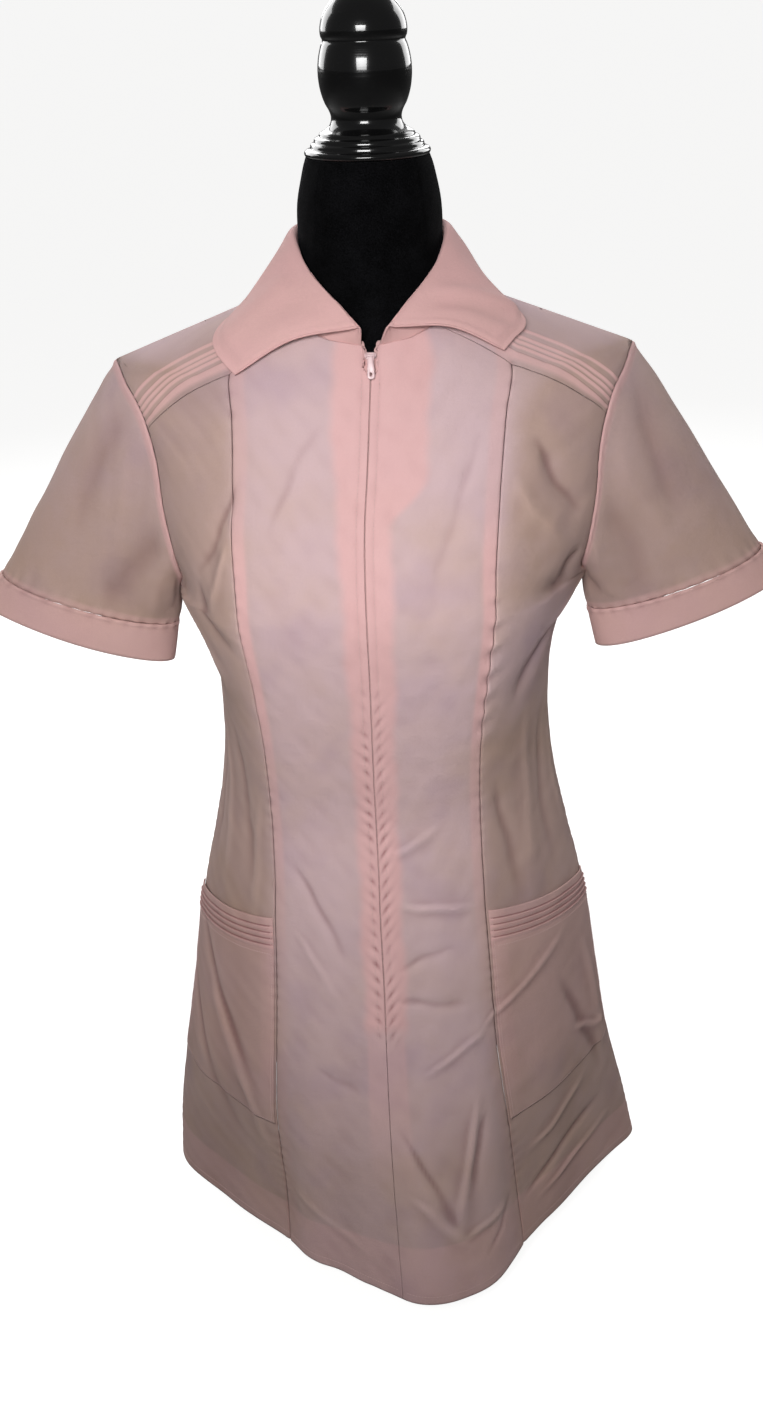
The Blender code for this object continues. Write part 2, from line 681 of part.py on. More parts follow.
def sleeve(sign, name, material, group):
    def surface(turn, t):
        return sleeve_surface(sign, turn, t)

    def place(turn, t, inner):
        rings = [surface(i / 8, max(t, 0.05)) for i in range(8)]
        centre = sum(rings, Vector()) / 8
        normal = surface_normal(surface, turn, t, centre)
        reach = (surface(turn, 1.0) - surface(turn, 0.0)).length
        point = surface(turn, t * (1 - SEAM / reach))
        fall = min(turn, 1 - turn)
        under = smoothstep(0.22, 0.45, fall)
        point.x += sign * UNDERARM_EASE * under * max(0.0, 1 - t / 0.3)
        if t == 0:
            seam = armhole_normal(sign, turn)
            share = smoothstep(-0.1, 0.3, normal.dot(seam))
            normal = (seam * share + normal * (1 - share)).normalized()
            leave = (surface(turn, 0.03) - surface(turn, 0.0)).normalized()
            outward = Vector((sign, 0.0, 0.0))
            gap = SLEEVE_GAP + UNDERARM_GAP * under
            gap += TIP_GAP * smoothstep(0.16, 0.06, fall)
            point = point + (leave * 0.5 + outward).normalized() * gap
        return point - normal * (CLOTH if inner else 0.0)

    rows = (0.0, 0.06, 0.16, 0.30, 0.46, 0.64, 0.82, 1.0)
    return make_wall(name, ring_columns(), rows, place, material, group, closed=True)


def cuff(sign, name, material, group):
    def surface(turn, t):
        start = cuff_ring(CUFF_TOP, sign, turn)
        end = cuff_ring(CUFF_HEM, sign, turn)
        return start + (end - start) * t

    def place(turn, t, inner):
        middle = mix(Vector(CUFF_TOP["middle"]), Vector(CUFF_HEM["middle"]), t)
        centre = Vector((sign * middle.x, middle.y, middle.z))
        normal = surface_normal(surface, turn, min(t, 0.96), centre)
        return surface(turn, t) + normal * (CUFF_PROUD - CUFF_THICK if inner else CUFF_PROUD)

    return make_wall(name, ring_columns(), (0.0, 0.5, 1.0), place, material, group, closed=True)


def collar_section(along, part):
    # One point across the collar: part 0 at the neckline, 0.4 at the roll line and 1 at the leaf's edge.
    sign = 1 if along >= 0 else -1
    neck_around, rx, ry, rz, edge_around, edge_z, lift = row_at(COLLAR, abs(along))
    neck_z = line_at(NECKLINE, neck_around)
    neck = garment_point(sign * neck_around, neck_z)
    inward = Vector((-neck.x, -neck.y, 0.0)).normalized()
    neck = neck + inward * COLLAR_INSET + Vector((0.0, 0.0, COLLAR_INSET * 1.5))
    roll = Vector((sign * rx, ry, rz))
    if edge_around > 3.9:
        edge_around = 4.0
    uneven = (POINT_RISE if sign > 0 else 0.0) * smoothstep(0.7, 1.0, abs(along))
    edge_z = edge_z + uneven
    edge = garment_point(sign * edge_around, edge_z) + garment_normal(sign * edge_around, edge_z) * lift
    fall = edge - roll
    out = Vector((fall.x, fall.y, 0.0)).normalized()
    tight = mix(1.0, 0.55, smoothstep(0.85, 1.0, abs(along)))
    stand_top = roll - out * ROLL_RADIUS * tight + (neck - roll).normalized() * ROLL_REACH
    leaf_top = roll + out * ROLL_RADIUS * tight + fall.normalized() * ROLL_REACH
    bow = LEAF_RISE + LEAF_BOW * smoothstep(0.75, 1.0, abs(along))
    middle = mix(leaf_top, edge, 0.5) + Vector((0.0, 0.0, bow)) + out * LEAF_PUFF
    knots = (
        (0.0, neck),
        (0.36, stand_top),
        (0.42, roll),
        (0.48, leaf_top),
        (0.74, middle),
        (1.0, edge),
    )
    return Vector(row_at([(key, *point) for key, point in knots], part))


def collar(name, material, group):
    def place(along, part, inner):
        step = 0.01
        low_along = max(along - step, -1.0)
        low_part = max(part - step, 0.0)
        run = collar_section(min(along + step, 1.0), part) - collar_section(low_along, part)
        rise = collar_section(along, min(part + step, 1.0)) - collar_section(along, low_part)
        normal = run.cross(rise).normalized()
        return collar_section(along, part) + normal * (CLOTH / 2 if inner else -CLOTH / 2)

    columns = [2 * i / 30 - 1 for i in range(31)]
    rows = (0.0, 0.20, 0.36, 0.39, 0.42, 0.45, 0.48, 0.70, 1.0)
    return make_wall(name, columns, rows, place, material, group)


def pocket(sign, name, material, group):
    near = 0.012
    far = 0.94

    def patch(s, t):
        top = mix(POCKET_TOP_SEAM_Z, POCKET_TOP_SIDE_Z, s)
        return (sign * (1 + mix(near, far, s)), mix(POCKET_BOTTOM_Z, top, t))

    first = 1 - POCKET_BAND / (POCKET_TOP_SEAM_Z - POCKET_BOTTOM_Z)
    last = 0.985
    rows = [first * i / 5 for i in range(5)] + tuck_rows(first, last, POCKET_TUCKS) + [1.0]

    def place(s, t, inner):
        around, z = patch(s, t)
        gape = POCKET_GAPE * (1 - (2 * s - 1) ** 2) * smoothstep(0.5, 1.0, t)
        base = SEAM + 0.0002 + gape
        if not inner:
            ridge = tuck_ridge(t, first, last, POCKET_TUCKS)
            ridge *= smoothstep(0.0, 0.04, s) * smoothstep(1.0, 0.96, s)
            base = base + CLOTH + ridge
        return garment_point(around, z) + garment_normal(around, z) * base

    places = (near, 0.05, 0.24, 0.36, 0.48, 0.60, 0.72, 0.84, far - 0.03, far)
    columns = [(place_on - near) / (far - near) for place_on in places]
    return make_wall(name, columns, rows, place, material, group)


def zip_strip(name, half, outer, inner_depth, low, high, material, group):
    # A strip along the zip line, its faces at two depths below the cloth's outer face.
    # Its levels are the front panels' own, so that it follows them closely.
    span = line_at(FRONT_TOP, 0) - HEM_Z
    levels = [HEM_Z + span * t for t in front_rows()]
    rows = [low] + [z for z in levels if low + 0.003 < z < high - 0.003] + [high]

    def place(s, z, inner):
        around = mix(-half, half, s) / row_at(BODY, z)[2]
        depth = inner_depth if inner else outer
        return garment_point(around, z) - garment_normal(around, z) * depth

    return make_wall(name, even(2), rows, place, material, group)


def zip_frame():
    # Axes at the slider: X across, Y into the cloth, Z up along the zip.
    up = (garment_point(0, SLIDER_Z + 0.004) - garment_point(0, SLIDER_Z - 0.004)).normalized()
    across = Vector((1.0, 0.0, 0.0))
    inward = up.cross(across).normalized()
    frame = Matrix((across, inward, across.cross(inward))).transposed().to_4x4()
    frame.translation = garment_point(0, SLIDER_Z)
    return frame


def box_mesh(size, centre):
    mesh = bmesh.new()
    bmesh.ops.create_cube(mesh, size=1.0)
    bmesh.ops.scale(mesh, vec=Vector(size), verts=mesh.verts[:])
    bmesh.ops.translate(mesh, vec=Vector(centre), verts=mesh.verts[:])
    return mesh


def join_solids(name, pieces, cutters, material, group):
    # One solid from overlapping ones, by exact unions.
    objects = [add_object(f"{name}_piece_{i}", mesh, material, cutters) for i, mesh in enumerate(pieces)]
    body = objects[0]
    for other in objects[1:]:
        union = body.modifiers.new("union", "BOOLEAN")
        union.operation = "UNION"
        union.object = other
    bpy.context.view_layer.update()
    graph = bpy.context.evaluated_depsgraph_get()
    data = bpy.data.meshes.new_from_object(body.evaluated_get(graph))
    for item in objects:
        bpy.data.objects.remove(item, do_unlink=True)
    item = bpy.data.objects.new(name, data)
    group.objects.link(item)
    return item


def slider_and_pull(cutters, material, group):
    frame = zip_frame()
    body = box_mesh(SLIDER_SIZE, (0.0, SLIDER_SIZE[1] / 2 - SLIDER_PROUD, 0.0))
    edges = [edge for edge in body.edges if abs(edge.verts[0].co.z - edge.verts[1].co.z) > 0.001]
    bmesh.ops.bevel(body, geom=edges, offset=SLIDER_EDGE, segments=2, affect="EDGES")
    pieces = [body]
    hinge_y = -SLIDER_PROUD - HINGE_PROUD
    for side in (-1, 1):
        middle = side * (PULL_WIDTH / 2 + SEAM + EAR_SIZE[0] / 2)
        pieces.append(box_mesh(EAR_SIZE, (middle, hinge_y + HINGE_PROUD / 2, HINGE_RISE)))
    slider = join_solids("zip_slider", pieces, cutters, material, group)
    slider.matrix_world = frame

    knuckle = bmesh.new()
    turn = Matrix.Rotation(pi / 2, 4, "Y")
    bmesh.ops.create_cone(
        knuckle,
        cap_ends=True,
        segments=12,
        radius1=KNUCKLE_RADIUS,
        radius2=KNUCKLE_RADIUS,
        depth=PULL_WIDTH,
        matrix=turn,
    )
    drop = PULL_LENGTH / 2
    tab = box_mesh((PULL_WIDTH - 0.0002, PULL_THICK, PULL_LENGTH), (0.0, 0.0, -drop))
    ends = [edge for edge in tab.edges if max(v.co.z for v in edge.verts) < -drop]
    corners = [edge for edge in ends if abs(edge.verts[0].co.y - edge.verts[1].co.y) > 0.0005]
    bmesh.ops.bevel(tab, geom=corners, offset=PULL_CORNER, segments=3, affect="EDGES")
    pull = join_solids("zip_pull", [knuckle, tab], cutters, material, group)
    pull.matrix_world = frame @ Matrix.Translation((0.0, hinge_y, HINGE_RISE))
    return slider, pull


def form_torso(name, material, group):
    segments = 28
    rows = [row[0] for row in FORM]
    mesh = bmesh.new()
    bmesh.ops.create_grid(mesh, x_segments=segments, y_segments=len(rows) - 1, size=0.5)
    for vert in mesh.verts:
        around = wrap(8 * (vert.co.x + 0.5))
        front, px, py, side_x, bx, by, rear = row_at(FORM, rows[round((vert.co.y + 0.5) * (len(rows) - 1))])
        sign = 1 if around >= 0 else -1
        side = Vector((sign * side_x, 0.0))
        plan = ring_point(around, front, (px, py), side, side, (bx, by), rear, 0.0)
        vert.co = Vector((plan.x, plan.y, rows[round((vert.co.y + 0.5) * (len(rows) - 1))]))
    bmesh.ops.remove_doubles(mesh, verts=mesh.verts[:], dist=1e-6)
    rims = [edge for edge in mesh.edges if edge.is_boundary]
    bmesh.ops.holes_fill(mesh, edges=rims, sides=0)
    return add_object(name, mesh, material, group)


def turned(name, profile, base_z, segments, material, group):
    # A turned piece: the profile's outer side runs from the top down, with both ends closed.
    mesh = bmesh.new()
    points = [(0.0, profile[-1][1])] + list(reversed(profile)) + [(0.0, profile[0][1])]
    verts = [mesh.verts.new((radius, 0.0, height)) for radius, height in points]
    for a, b in zip(verts, verts[1:]):
        mesh.edges.new((a, b))
    data = bpy.data.meshes.new(name)
    mesh.to_mesh(data)
    mesh.free()
    data.materials.append(material)
    item = bpy.data.objects.new(name, data)
    group.objects.link(item)
    item.location = (0.0, 0.0, base_z)
    screw = item.modifiers.new("turn", "SCREW")
    screw.steps = segments
    screw.render_steps = segments
    screw.use_merge_vertices = True
    screw.merge_threshold = 0.00001
    screw.use_smooth_shade = True
    return item


def main():
    clear_scene()
    group = new_collection("nurse_uniform_top")
    cutters = new_collection("construction")
    looks = {name: make_material(name) for name in MATERIALS}
    cloth = looks["pink_cloth"]

    for sign, word in ((1, "left"), (-1, "right")):
        front_panel(sign, f"front_{word}", cloth, group)
        side_front_panel(sign, f"side_front_{word}", cloth, group)
        yoke_panel(sign, f"yoke_{word}", cloth, group)
        side_back_panel(sign, f"side_back_{word}", cloth, group)
        sleeve(sign, f"sleeve_{word}", cloth, group)
        cuff(sign, f"cuff_{word}", cloth, group)
        pocket(sign, f"pocket_{word}", cloth, group)
    back_panel("back", cloth, group)
    collar("collar", cloth, group)

    tape_depth = CLOTH + SEAM + 0.0002
    zip_strip(
        "zip_tape", TAPE_HALF, tape_depth, tape_depth + TAPE_THICK,
        ZIP_END_Z - 0.006, ZIP_TOP_Z, looks["pink_zip"], group,
    )
    zip_strip(
        "zip_coil", COIL_HALF, 0.0001, CLOTH,
        ZIP_END_Z + 0.008, SLIDER_Z - 0.0062, looks["pink_zip"], group,
    )
    slider_and_pull(cutters, looks["pink_enamel"], group)

    form_torso("form_torso", looks["black_velvet"], group)
    turned("form_neck_cap", CAP_PROFILE, NECK_TOP_Z + SEAM, 24, looks["black_lacquer"], group)
    pole_low = BASE_HEIGHT + SEAM
    pole = ((POLE_RADIUS, 0.0), (POLE_RADIUS, TORSO_BOTTOM_Z - SEAM - pole_low))
    turned("stand_pole", pole, pole_low, 20, looks["black_metal"], group)
    edge = 0.004
    base = (
        (BASE_RADIUS - 0.001, 0.0),
        (BASE_RADIUS, 0.001),
        (BASE_RADIUS, BASE_HEIGHT - edge),
        (BASE_RADIUS - edge * 0.3, BASE_HEIGHT - edge * 0.3),
        (BASE_RADIUS - edge, BASE_HEIGHT),
    )
    turned("stand_base", base, 0.0, 36, looks["black_lacquer"], group)


main()
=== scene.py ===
# Nurse uniform top on a dress form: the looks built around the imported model.
# Metres. +X is the wearer's left, the front faces -Y and the origin is under the stand's base.
from math import cos, pi, radians, sin

import bmesh
import bpy
import numpy as np
from mathutils import Matrix, Vector


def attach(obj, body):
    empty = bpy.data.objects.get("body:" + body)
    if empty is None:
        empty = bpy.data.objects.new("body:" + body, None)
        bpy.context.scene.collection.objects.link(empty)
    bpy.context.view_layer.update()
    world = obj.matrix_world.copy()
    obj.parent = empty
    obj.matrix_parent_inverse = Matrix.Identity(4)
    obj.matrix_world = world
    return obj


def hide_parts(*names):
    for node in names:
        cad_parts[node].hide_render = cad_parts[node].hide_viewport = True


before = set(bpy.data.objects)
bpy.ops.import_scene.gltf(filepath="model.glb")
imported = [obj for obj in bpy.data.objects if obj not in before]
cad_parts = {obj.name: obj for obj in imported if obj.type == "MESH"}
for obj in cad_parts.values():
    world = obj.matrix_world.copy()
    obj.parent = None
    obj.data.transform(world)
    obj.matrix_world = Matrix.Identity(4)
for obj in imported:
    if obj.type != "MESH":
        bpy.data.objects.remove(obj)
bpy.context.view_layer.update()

# Camera
cameraSet = {
    "place": (-0.003, -1.118, 1.062),
    "yaw": -0.001,
    "pitch": 0.461,
    "roll": -0.036,
    "focalPixels": 1493.7,
    "photoHeight": 1402,
    "sensor": 36.0,
}

# Levels and widths of the cut
cut = {
    "hem": 0.030,
    "armpit": 0.631,
    "tip": 0.800,
    "tipX": 0.193,
    "neckSide": 0.852,
    "neckSideX": 0.055,
    "yokeArmhole": 0.762,
    "backSeam": 0.826,
    "zipEnd": 0.273,
    "sliderZ": 0.8125,
    "zipSlit": 0.00045,
    "sliderSlit": 0.0048,
    "seamGap": 0.0003,
    "panelWidth": 0.095,
    "stitchLine": 0.0062,
}

# Sections: z, shift, front y, princess x, princess y, back x, back y, rear y
bodyRows = (
    (0.030, -0.004, -0.188, 0.1050, -0.1315, 0.105, 0.125, 0.150),
    (0.085, -0.006, -0.1775, 0.1025, -0.1275, 0.102, 0.121, 0.143),
    (0.170, -0.009, -0.166, 0.0990, -0.127, 0.098, 0.116, 0.132),
    (0.245, -0.010, -0.149, 0.0925, -0.122, 0.093, 0.111, 0.124),
    (0.312, -0.010, -0.137, 0.0885, -0.117, 0.088, 0.106, 0.115),
    (0.371, -0.011, -0.126, 0.0855, -0.109, 0.084, 0.098, 0.104),
    (0.410, -0.011, -0.118, 0.0838, -0.103, 0.081, 0.090, 0.095),
    (0.454, -0.0115, -0.112, 0.0830, -0.098, 0.080, 0.084, 0.088),
    (0.500, -0.012, -0.118, 0.0830, -0.104, 0.081, 0.086, 0.089),
    (0.540, -0.012, -0.125, 0.0845, -0.112, 0.084, 0.090, 0.093),
    (0.590, -0.012, -0.133, 0.0890, -0.121, 0.090, 0.095, 0.098),
    (0.631, -0.0125, -0.1368, 0.0935, -0.125, 0.095, 0.098, 0.102),
    (0.665, -0.0125, -0.1300, 0.0945, -0.118, 0.098, 0.101, 0.104),
    (0.700, -0.0115, -0.118, 0.0960, -0.108, 0.100, 0.102, 0.105),
    (0.740, -0.008, -0.105, 0.0960, -0.097, 0.101, 0.099, 0.103),
    (0.773, -0.0055, -0.095, 0.0975, -0.083, 0.101, 0.090, 0.098),
    (0.800, -0.0035, -0.085, 0.1005, -0.068, 0.098, 0.073, 0.088),
    (0.820, -0.003, -0.077, 0.0940, -0.055, 0.090, 0.057, 0.076),
    (0.840, -0.002, -0.067, 0.0660, -0.040, 0.067, 0.041, 0.062),
    (0.852, -0.001, -0.058, 0.0480, -0.030, 0.050, 0.032, 0.052),
)

# Side seam below the armpit: z, x, y, sway
sideRows = (
    (0.030, 0.2198, 0.004, 0.006),
    (0.085, 0.2115, 0.000, 0.003),
    (0.170, 0.1945, -0.002, 0.000),
    (0.245, 0.1810, -0.003, 0.000),
    (0.312, 0.1700, -0.004, 0.000),
    (0.353, 0.1620, -0.005, 0.000),
    (0.394, 0.1520, -0.005, 0.000),
    (0.434, 0.1430, -0.005, 0.000),
    (0.470, 0.1370, -0.005, 0.000),
    (0.510, 0.1338, -0.005, 0.000),
    (0.555, 0.1345, -0.005, 0.000),
    (0.590, 0.1405, -0.006, 0.000),
    (0.615, 0.1510, -0.006, 0.000),
    (0.631, 0.1610, -0.006, 0.000),
)

# Armhole from the shoulder tip to the armpit: turn, front x, front y, back x, back y
armholeRows = (
    (0.00, 0.1930, 0.000, 0.1930, 0.000),
    (0.15, 0.1830, -0.030, 0.1850, 0.030),
    (0.25, 0.1710, -0.051, 0.1755, 0.052),
    (0.40, 0.1620, -0.061, 0.1675, 0.066),
    (0.55, 0.1600, -0.062, 0.1640, 0.068),
    (0.70, 0.1560, -0.058, 0.1600, 0.060),
    (0.85, 0.1545, -0.038, 0.1585, 0.036),
    (1.00, 0.1610, -0.006, 0.1610, -0.006),
)

# Large folds: place round the body, half width, top z, bottom z, depth at the hem
foldRows = (
    (0.50, 0.76, 0.300, 0.030, 0.0275),
    (1.60, 0.40, 0.260, 0.030, -0.0148),
    (-1.28, 0.65, 0.230, 0.030, -0.0102),
    (-0.49, 0.35, 0.250, 0.030, -0.0047),
    (3.05, 0.45, 0.320, 0.030, 0.009),
    (-3.05, 0.45, 0.320, 0.030, 0.009),
    (3.60, 0.35, 0.280, 0.030, -0.006),
    (-3.60, 0.35, 0.280, 0.030, -0.006),
)

neckline = ((0.0, 0.8205), (0.3, 0.825), (0.55, 0.832), (1.0, 0.846),
            (1.5, 0.8505), (2.0, 0.852), (4.0, 0.852))
frontTop = ((0.0, 0.8205), (0.3, 0.825), (0.55, 0.832), (1.0, 0.802), (2.0, 0.762))


def smooth(low, high, value):
    x = np.clip((value - low) / (high - low), 0.0, 1.0)
    return x * x * (3 - 2 * x)


def mix(a, b, t):
    return a + (b - a) * t


def unit(v):
    return v / np.maximum(np.linalg.norm(v, axis=-1, keepdims=True), 1e-9)


def hermite(p1, p2, m1, m2, t):
    return (
        (2 * t**3 - 3 * t**2 + 1) * p1
        + (t**3 - 2 * t**2 + t) * m1
        + (3 * t**2 - 2 * t**3) * p2
        + (t**3 - t**2) * m2
    )


def rowAt(table, key):
    # A table's row read smoothly between its rows, for many keys at once.
    rows = np.array(table, float)
    keys = rows[:, 0]
    key = np.clip(np.asarray(key, float), keys[0], keys[-1])
    low = np.clip(np.searchsorted(keys, key, side="left") - 1, 0, len(keys) - 2)
    before = np.maximum(low - 1, 0)
    after = np.minimum(low + 2, len(keys) - 1)
    step = (keys[low + 1] - keys[low])[..., None]
    m1 = (rows[low + 1] - rows[before]) / (keys[low + 1] - keys[before])[..., None] * step
    m2 = (rows[after] - rows[low]) / (keys[after] - keys[low])[..., None] * step
    t = (key - keys[low])[..., None] / step
    return hermite(rows[low], rows[low + 1], m1, m2, t)[..., 1:]


def lineAt(table, key):
    return np.interp(key, [row[0] for row in table], [row[1] for row in table])


def armholeTurn(z):
    middle = (cut["tip"] + cut["armpit"]) / 2
    reach = (cut["tip"] - cut["armpit"]) / 2
    level = np.clip((z - middle) / reach, -1.0, 1.0)
    return np.arctan2(np.sqrt(1 - level * level), level) / pi


def armholeHeight(turn):
    return (cut["tip"] + cut["armpit"]) / 2 + (cut["tip"] - cut["armpit"]) / 2 * np.cos(pi * turn)


def sideAt(z, sign, back):
    low = rowAt(sideRows, z)
    below = np.stack([sign * low[..., 0] + low[..., 2], low[..., 1]], -1)
    edge = rowAt(armholeRows, armholeTurn(z))
    pick = 2 if back else 0
    hole = np.stack([sign * edge[..., pick], edge[..., pick + 1]], -1)
    along = (z - cut["tip"]) / (cut["neckSide"] - cut["tip"])
    ridge = np.stack([sign * mix(cut["tipX"], cut["neckSideX"], along), np.zeros_like(z)], -1)
    z = z[..., None]
    return np.where(z <= cut["armpit"], below, np.where(z <= cut["tip"], hole, ridge))


def arcPoint(p0, p1, p2, p3, t):
    # A smooth curve through the middle two of four plan points.
    def reach(a, b):
        return np.maximum(np.linalg.norm(b - a, axis=-1, keepdims=True), 1e-6)

    chord = reach(p1, p2)

    def slope(before, here, after):
        d1 = reach(before, here)
        d2 = reach(here, after)
        return ((here - before) * (d2 / d1) + (after - here) * (d1 / d2)) * (chord / (d1 + d2))

    return hermite(p1, p2, slope(p0, p1, p2), slope(p1, p2, p3), t)


def ringPoint(around, front, princess, sideFront, sideBack, back, rear, shift):
    # One point of a closed section: around is 0 at the front, 1, 2 (side), 3 and 4 at the rear.
    sign = np.where(around >= 0, 1.0, -1.0)
    place = np.abs(around)
    part = np.clip(np.floor(place), 0, 3).astype(int)[..., None]
    frontSpot = np.stack([shift, front], -1)
    near = np.stack([sign * princess[0] + shift, princess[1]], -1)
    far = np.stack([-sign * princess[0] + shift, princess[1]], -1)
    nearBack = np.stack([sign * back[0], back[1]], -1)
    farBack = np.stack([-sign * back[0], back[1]], -1)
    rearSpot = np.stack([np.zeros_like(rear), rear], -1)

    def pick(a, b, c, d):
        return np.where(part == 0, a, np.where(part == 1, b, np.where(part == 2, c, d)))

    return arcPoint(
        pick(far, frontSpot, near, sideBack),
        pick(frontSpot, near, sideBack, nearBack),
        pick(near, sideFront, nearBack, rearSpot),
        pick(sideFront, nearBack, rearSpot, farBack),
        (place - part[..., 0])[..., None],
    )


def wrap(around):
    return np.where(around > 4, around - 8, around)


def garmentBase(around, z):
    around = wrap(around)
    sign = np.where(around >= 0, 1.0, -1.0)
    shift, front, px, py, bx, by, rear = np.moveaxis(rowAt(bodyRows, z), -1, 0)
    sideFront = sideAt(z, sign, False)
    sideBack = sideAt(z, sign, True)
    return ringPoint(around, front, (px, py), sideFront, sideBack, (bx, by), rear, shift)


def foldDepth(around, z):
    around = wrap(around)
    depth = np.zeros_like(z)
    for place, half, top, bottom, amount in foldRows:
        across = np.maximum(0.0, 1 - ((around - place) / half) ** 2)
        depth += amount * across**2 * smooth(top, bottom, z)
    return depth


def garmentPoint(around, z):
    around, z = np.broadcast_arrays(np.asarray(around, float), np.asarray(z, float))
    plan = garmentBase(around, z)
    run = garmentBase(around + 0.01, z) - garmentBase(around - 0.01, z)
    out = unit(np.stack([run[..., 1], -run[..., 0]], -1))
    out = np.where((out * plan).sum(-1, keepdims=True) < 0, -out, out)
    plan = plan + out * foldDepth(around, z)[..., None]
    return np.concatenate([plan, z[..., None]], -1)


def garmentNormal(around, z):
    around, z = np.broadcast_arrays(np.asarray(around, float), np.asarray(z, float))
    top = z > cut["tip"] - 0.001
    stepA = np.where(top, 0.10, 0.015)
    place = wrap(around)
    onHole = (np.abs(np.abs(place) - 2) < 0.015) & (z > cut["armpit"]) & (z < cut["tip"])
    away = np.where(np.abs(place) < 2, -1, 1) * np.where(place >= 0, 1, -1)
    first = np.where(onHole, around, around + stepA)
    second = np.where(onHole, around + away * 0.04, around - stepA)
    run = garmentPoint(first, z) - garmentPoint(second, z)
    lowZ = np.where(top, np.maximum(z, cut["tip"]), z - 0.0015)
    rise = garmentPoint(around, lowZ + 0.003) - garmentPoint(around, lowZ)
    normal = unit(np.cross(run, rise))
    middle = np.stack([np.zeros_like(z), np.zeros_like(z), np.minimum(z, 0.70)], -1)
    outward = (normal * (garmentPoint(around, z) - middle)).sum(-1, keepdims=True)
    return np.where(outward < 0, -normal, normal)


# Creases on the body: place and height of both ends, half width and height in metres
frontCreases = (
    (-0.95, 0.735, -1.50, 0.655, 0.0090, -0.0038),
    (-1.10, 0.690, -1.30, 0.630, 0.0054, 0.0026),
    (-1.50, 0.655, -1.10, 0.600, 0.0080, -0.0036),
    (-1.60, 0.640, -1.35, 0.560, 0.0068, 0.0031),
    (-1.85, 0.640, -1.60, 0.530, 0.0100, -0.0052),
    (1.25, 0.752, 1.85, 0.690, 0.0095, -0.0046),
    (1.15, 0.728, 1.60, 0.665, 0.0090, 0.0026),
    (1.88, 0.662, 1.40, 0.628, 0.0100, -0.0058),
    (1.95, 0.645, 1.50, 0.590, 0.0068, 0.0033),
    (1.80, 0.610, 1.20, 0.545, 0.0081, -0.0040),
    (-1.35, 0.530, -1.25, 0.380, 0.0063, -0.0021),
    (-1.60, 0.520, -1.50, 0.370, 0.0057, 0.0021),
    (-1.78, 0.500, -1.72, 0.380, 0.0057, -0.0018),
    (-1.12, 0.470, -1.20, 0.350, 0.0046, 0.0015),
    (1.15, 0.480, 1.25, 0.360, 0.0057, -0.0021),
    (1.40, 0.530, 1.38, 0.350, 0.0063, 0.0023),
    (1.62, 0.520, 1.60, 0.370, 0.0057, -0.0019),
    (1.82, 0.500, 1.78, 0.390, 0.0052, 0.0015),
    (-0.75, 0.420, -0.30, 0.330, 0.0057, -0.0018),
    (-0.80, 0.360, -0.35, 0.300, 0.0046, 0.0012),
    (0.12, 0.425, 0.60, 0.452, 0.0046, 0.0015),
    (0.20, 0.385, 0.92, 0.372, 0.0034, 0.0019),
    (0.15, 0.330, 0.70, 0.345, 0.0052, -0.0014),
    (0.10, 0.300, 0.80, 0.292, 0.0057, -0.0015),
    (0.85, 0.262, 1.55, 0.320, 0.0032, 0.0019),
    (0.30, 0.235, 0.95, 0.262, 0.0032, 0.0016),
    (0.10, 0.185, 0.45, 0.090, 0.0046, -0.0023),
    (0.70, 0.205, 0.40, 0.085, 0.0039, 0.0032),
    (0.78, 0.190, 0.52, 0.120, 0.0046, -0.0021),
    (0.42, 0.086, 0.85, 0.092, 0.0034, 0.0018),
    (0.12, 0.130, 0.50, 0.075, 0.0046, 0.0021),
    (0.60, 0.060, 0.90, 0.100, 0.0046, -0.0015),
    (1.10, 0.120, 1.60, 0.150, 0.0040, 0.0027),
    (1.05, 0.075, 1.70, 0.110, 0.0046, -0.0033),
    (1.15, 0.060, 1.75, 0.085, 0.0034, 0.0024),
    (1.55, 0.210, 1.85, 0.185, 0.0039, 0.0024),
    (1.50, 0.270, 1.75, 0.130, 0.0063, -0.0033),
    (1.70, 0.290, 1.80, 0.120, 0.0057, 0.0027),
    (-1.75, 0.330, -1.10, 0.190, 0.0057, -0.0030),
    (-1.60, 0.300, -1.08, 0.150, 0.0052, 0.0021),
    (-1.85, 0.260, -1.30, 0.120, 0.0057, -0.0021),
    (-1.25, 0.200, -1.05, 0.120, 0.0037, 0.0018),
    (-0.90, 0.100, -0.20, 0.060, 0.0052, 0.0012),
    (-0.60, 0.240, -0.20, 0.215, 0.0063, -0.0010),
    (-0.70, 0.700, -0.30, 0.780, 0.0080, -0.0014),
    (0.75, 0.760, 0.50, 0.640, 0.0092, -0.0015),
)

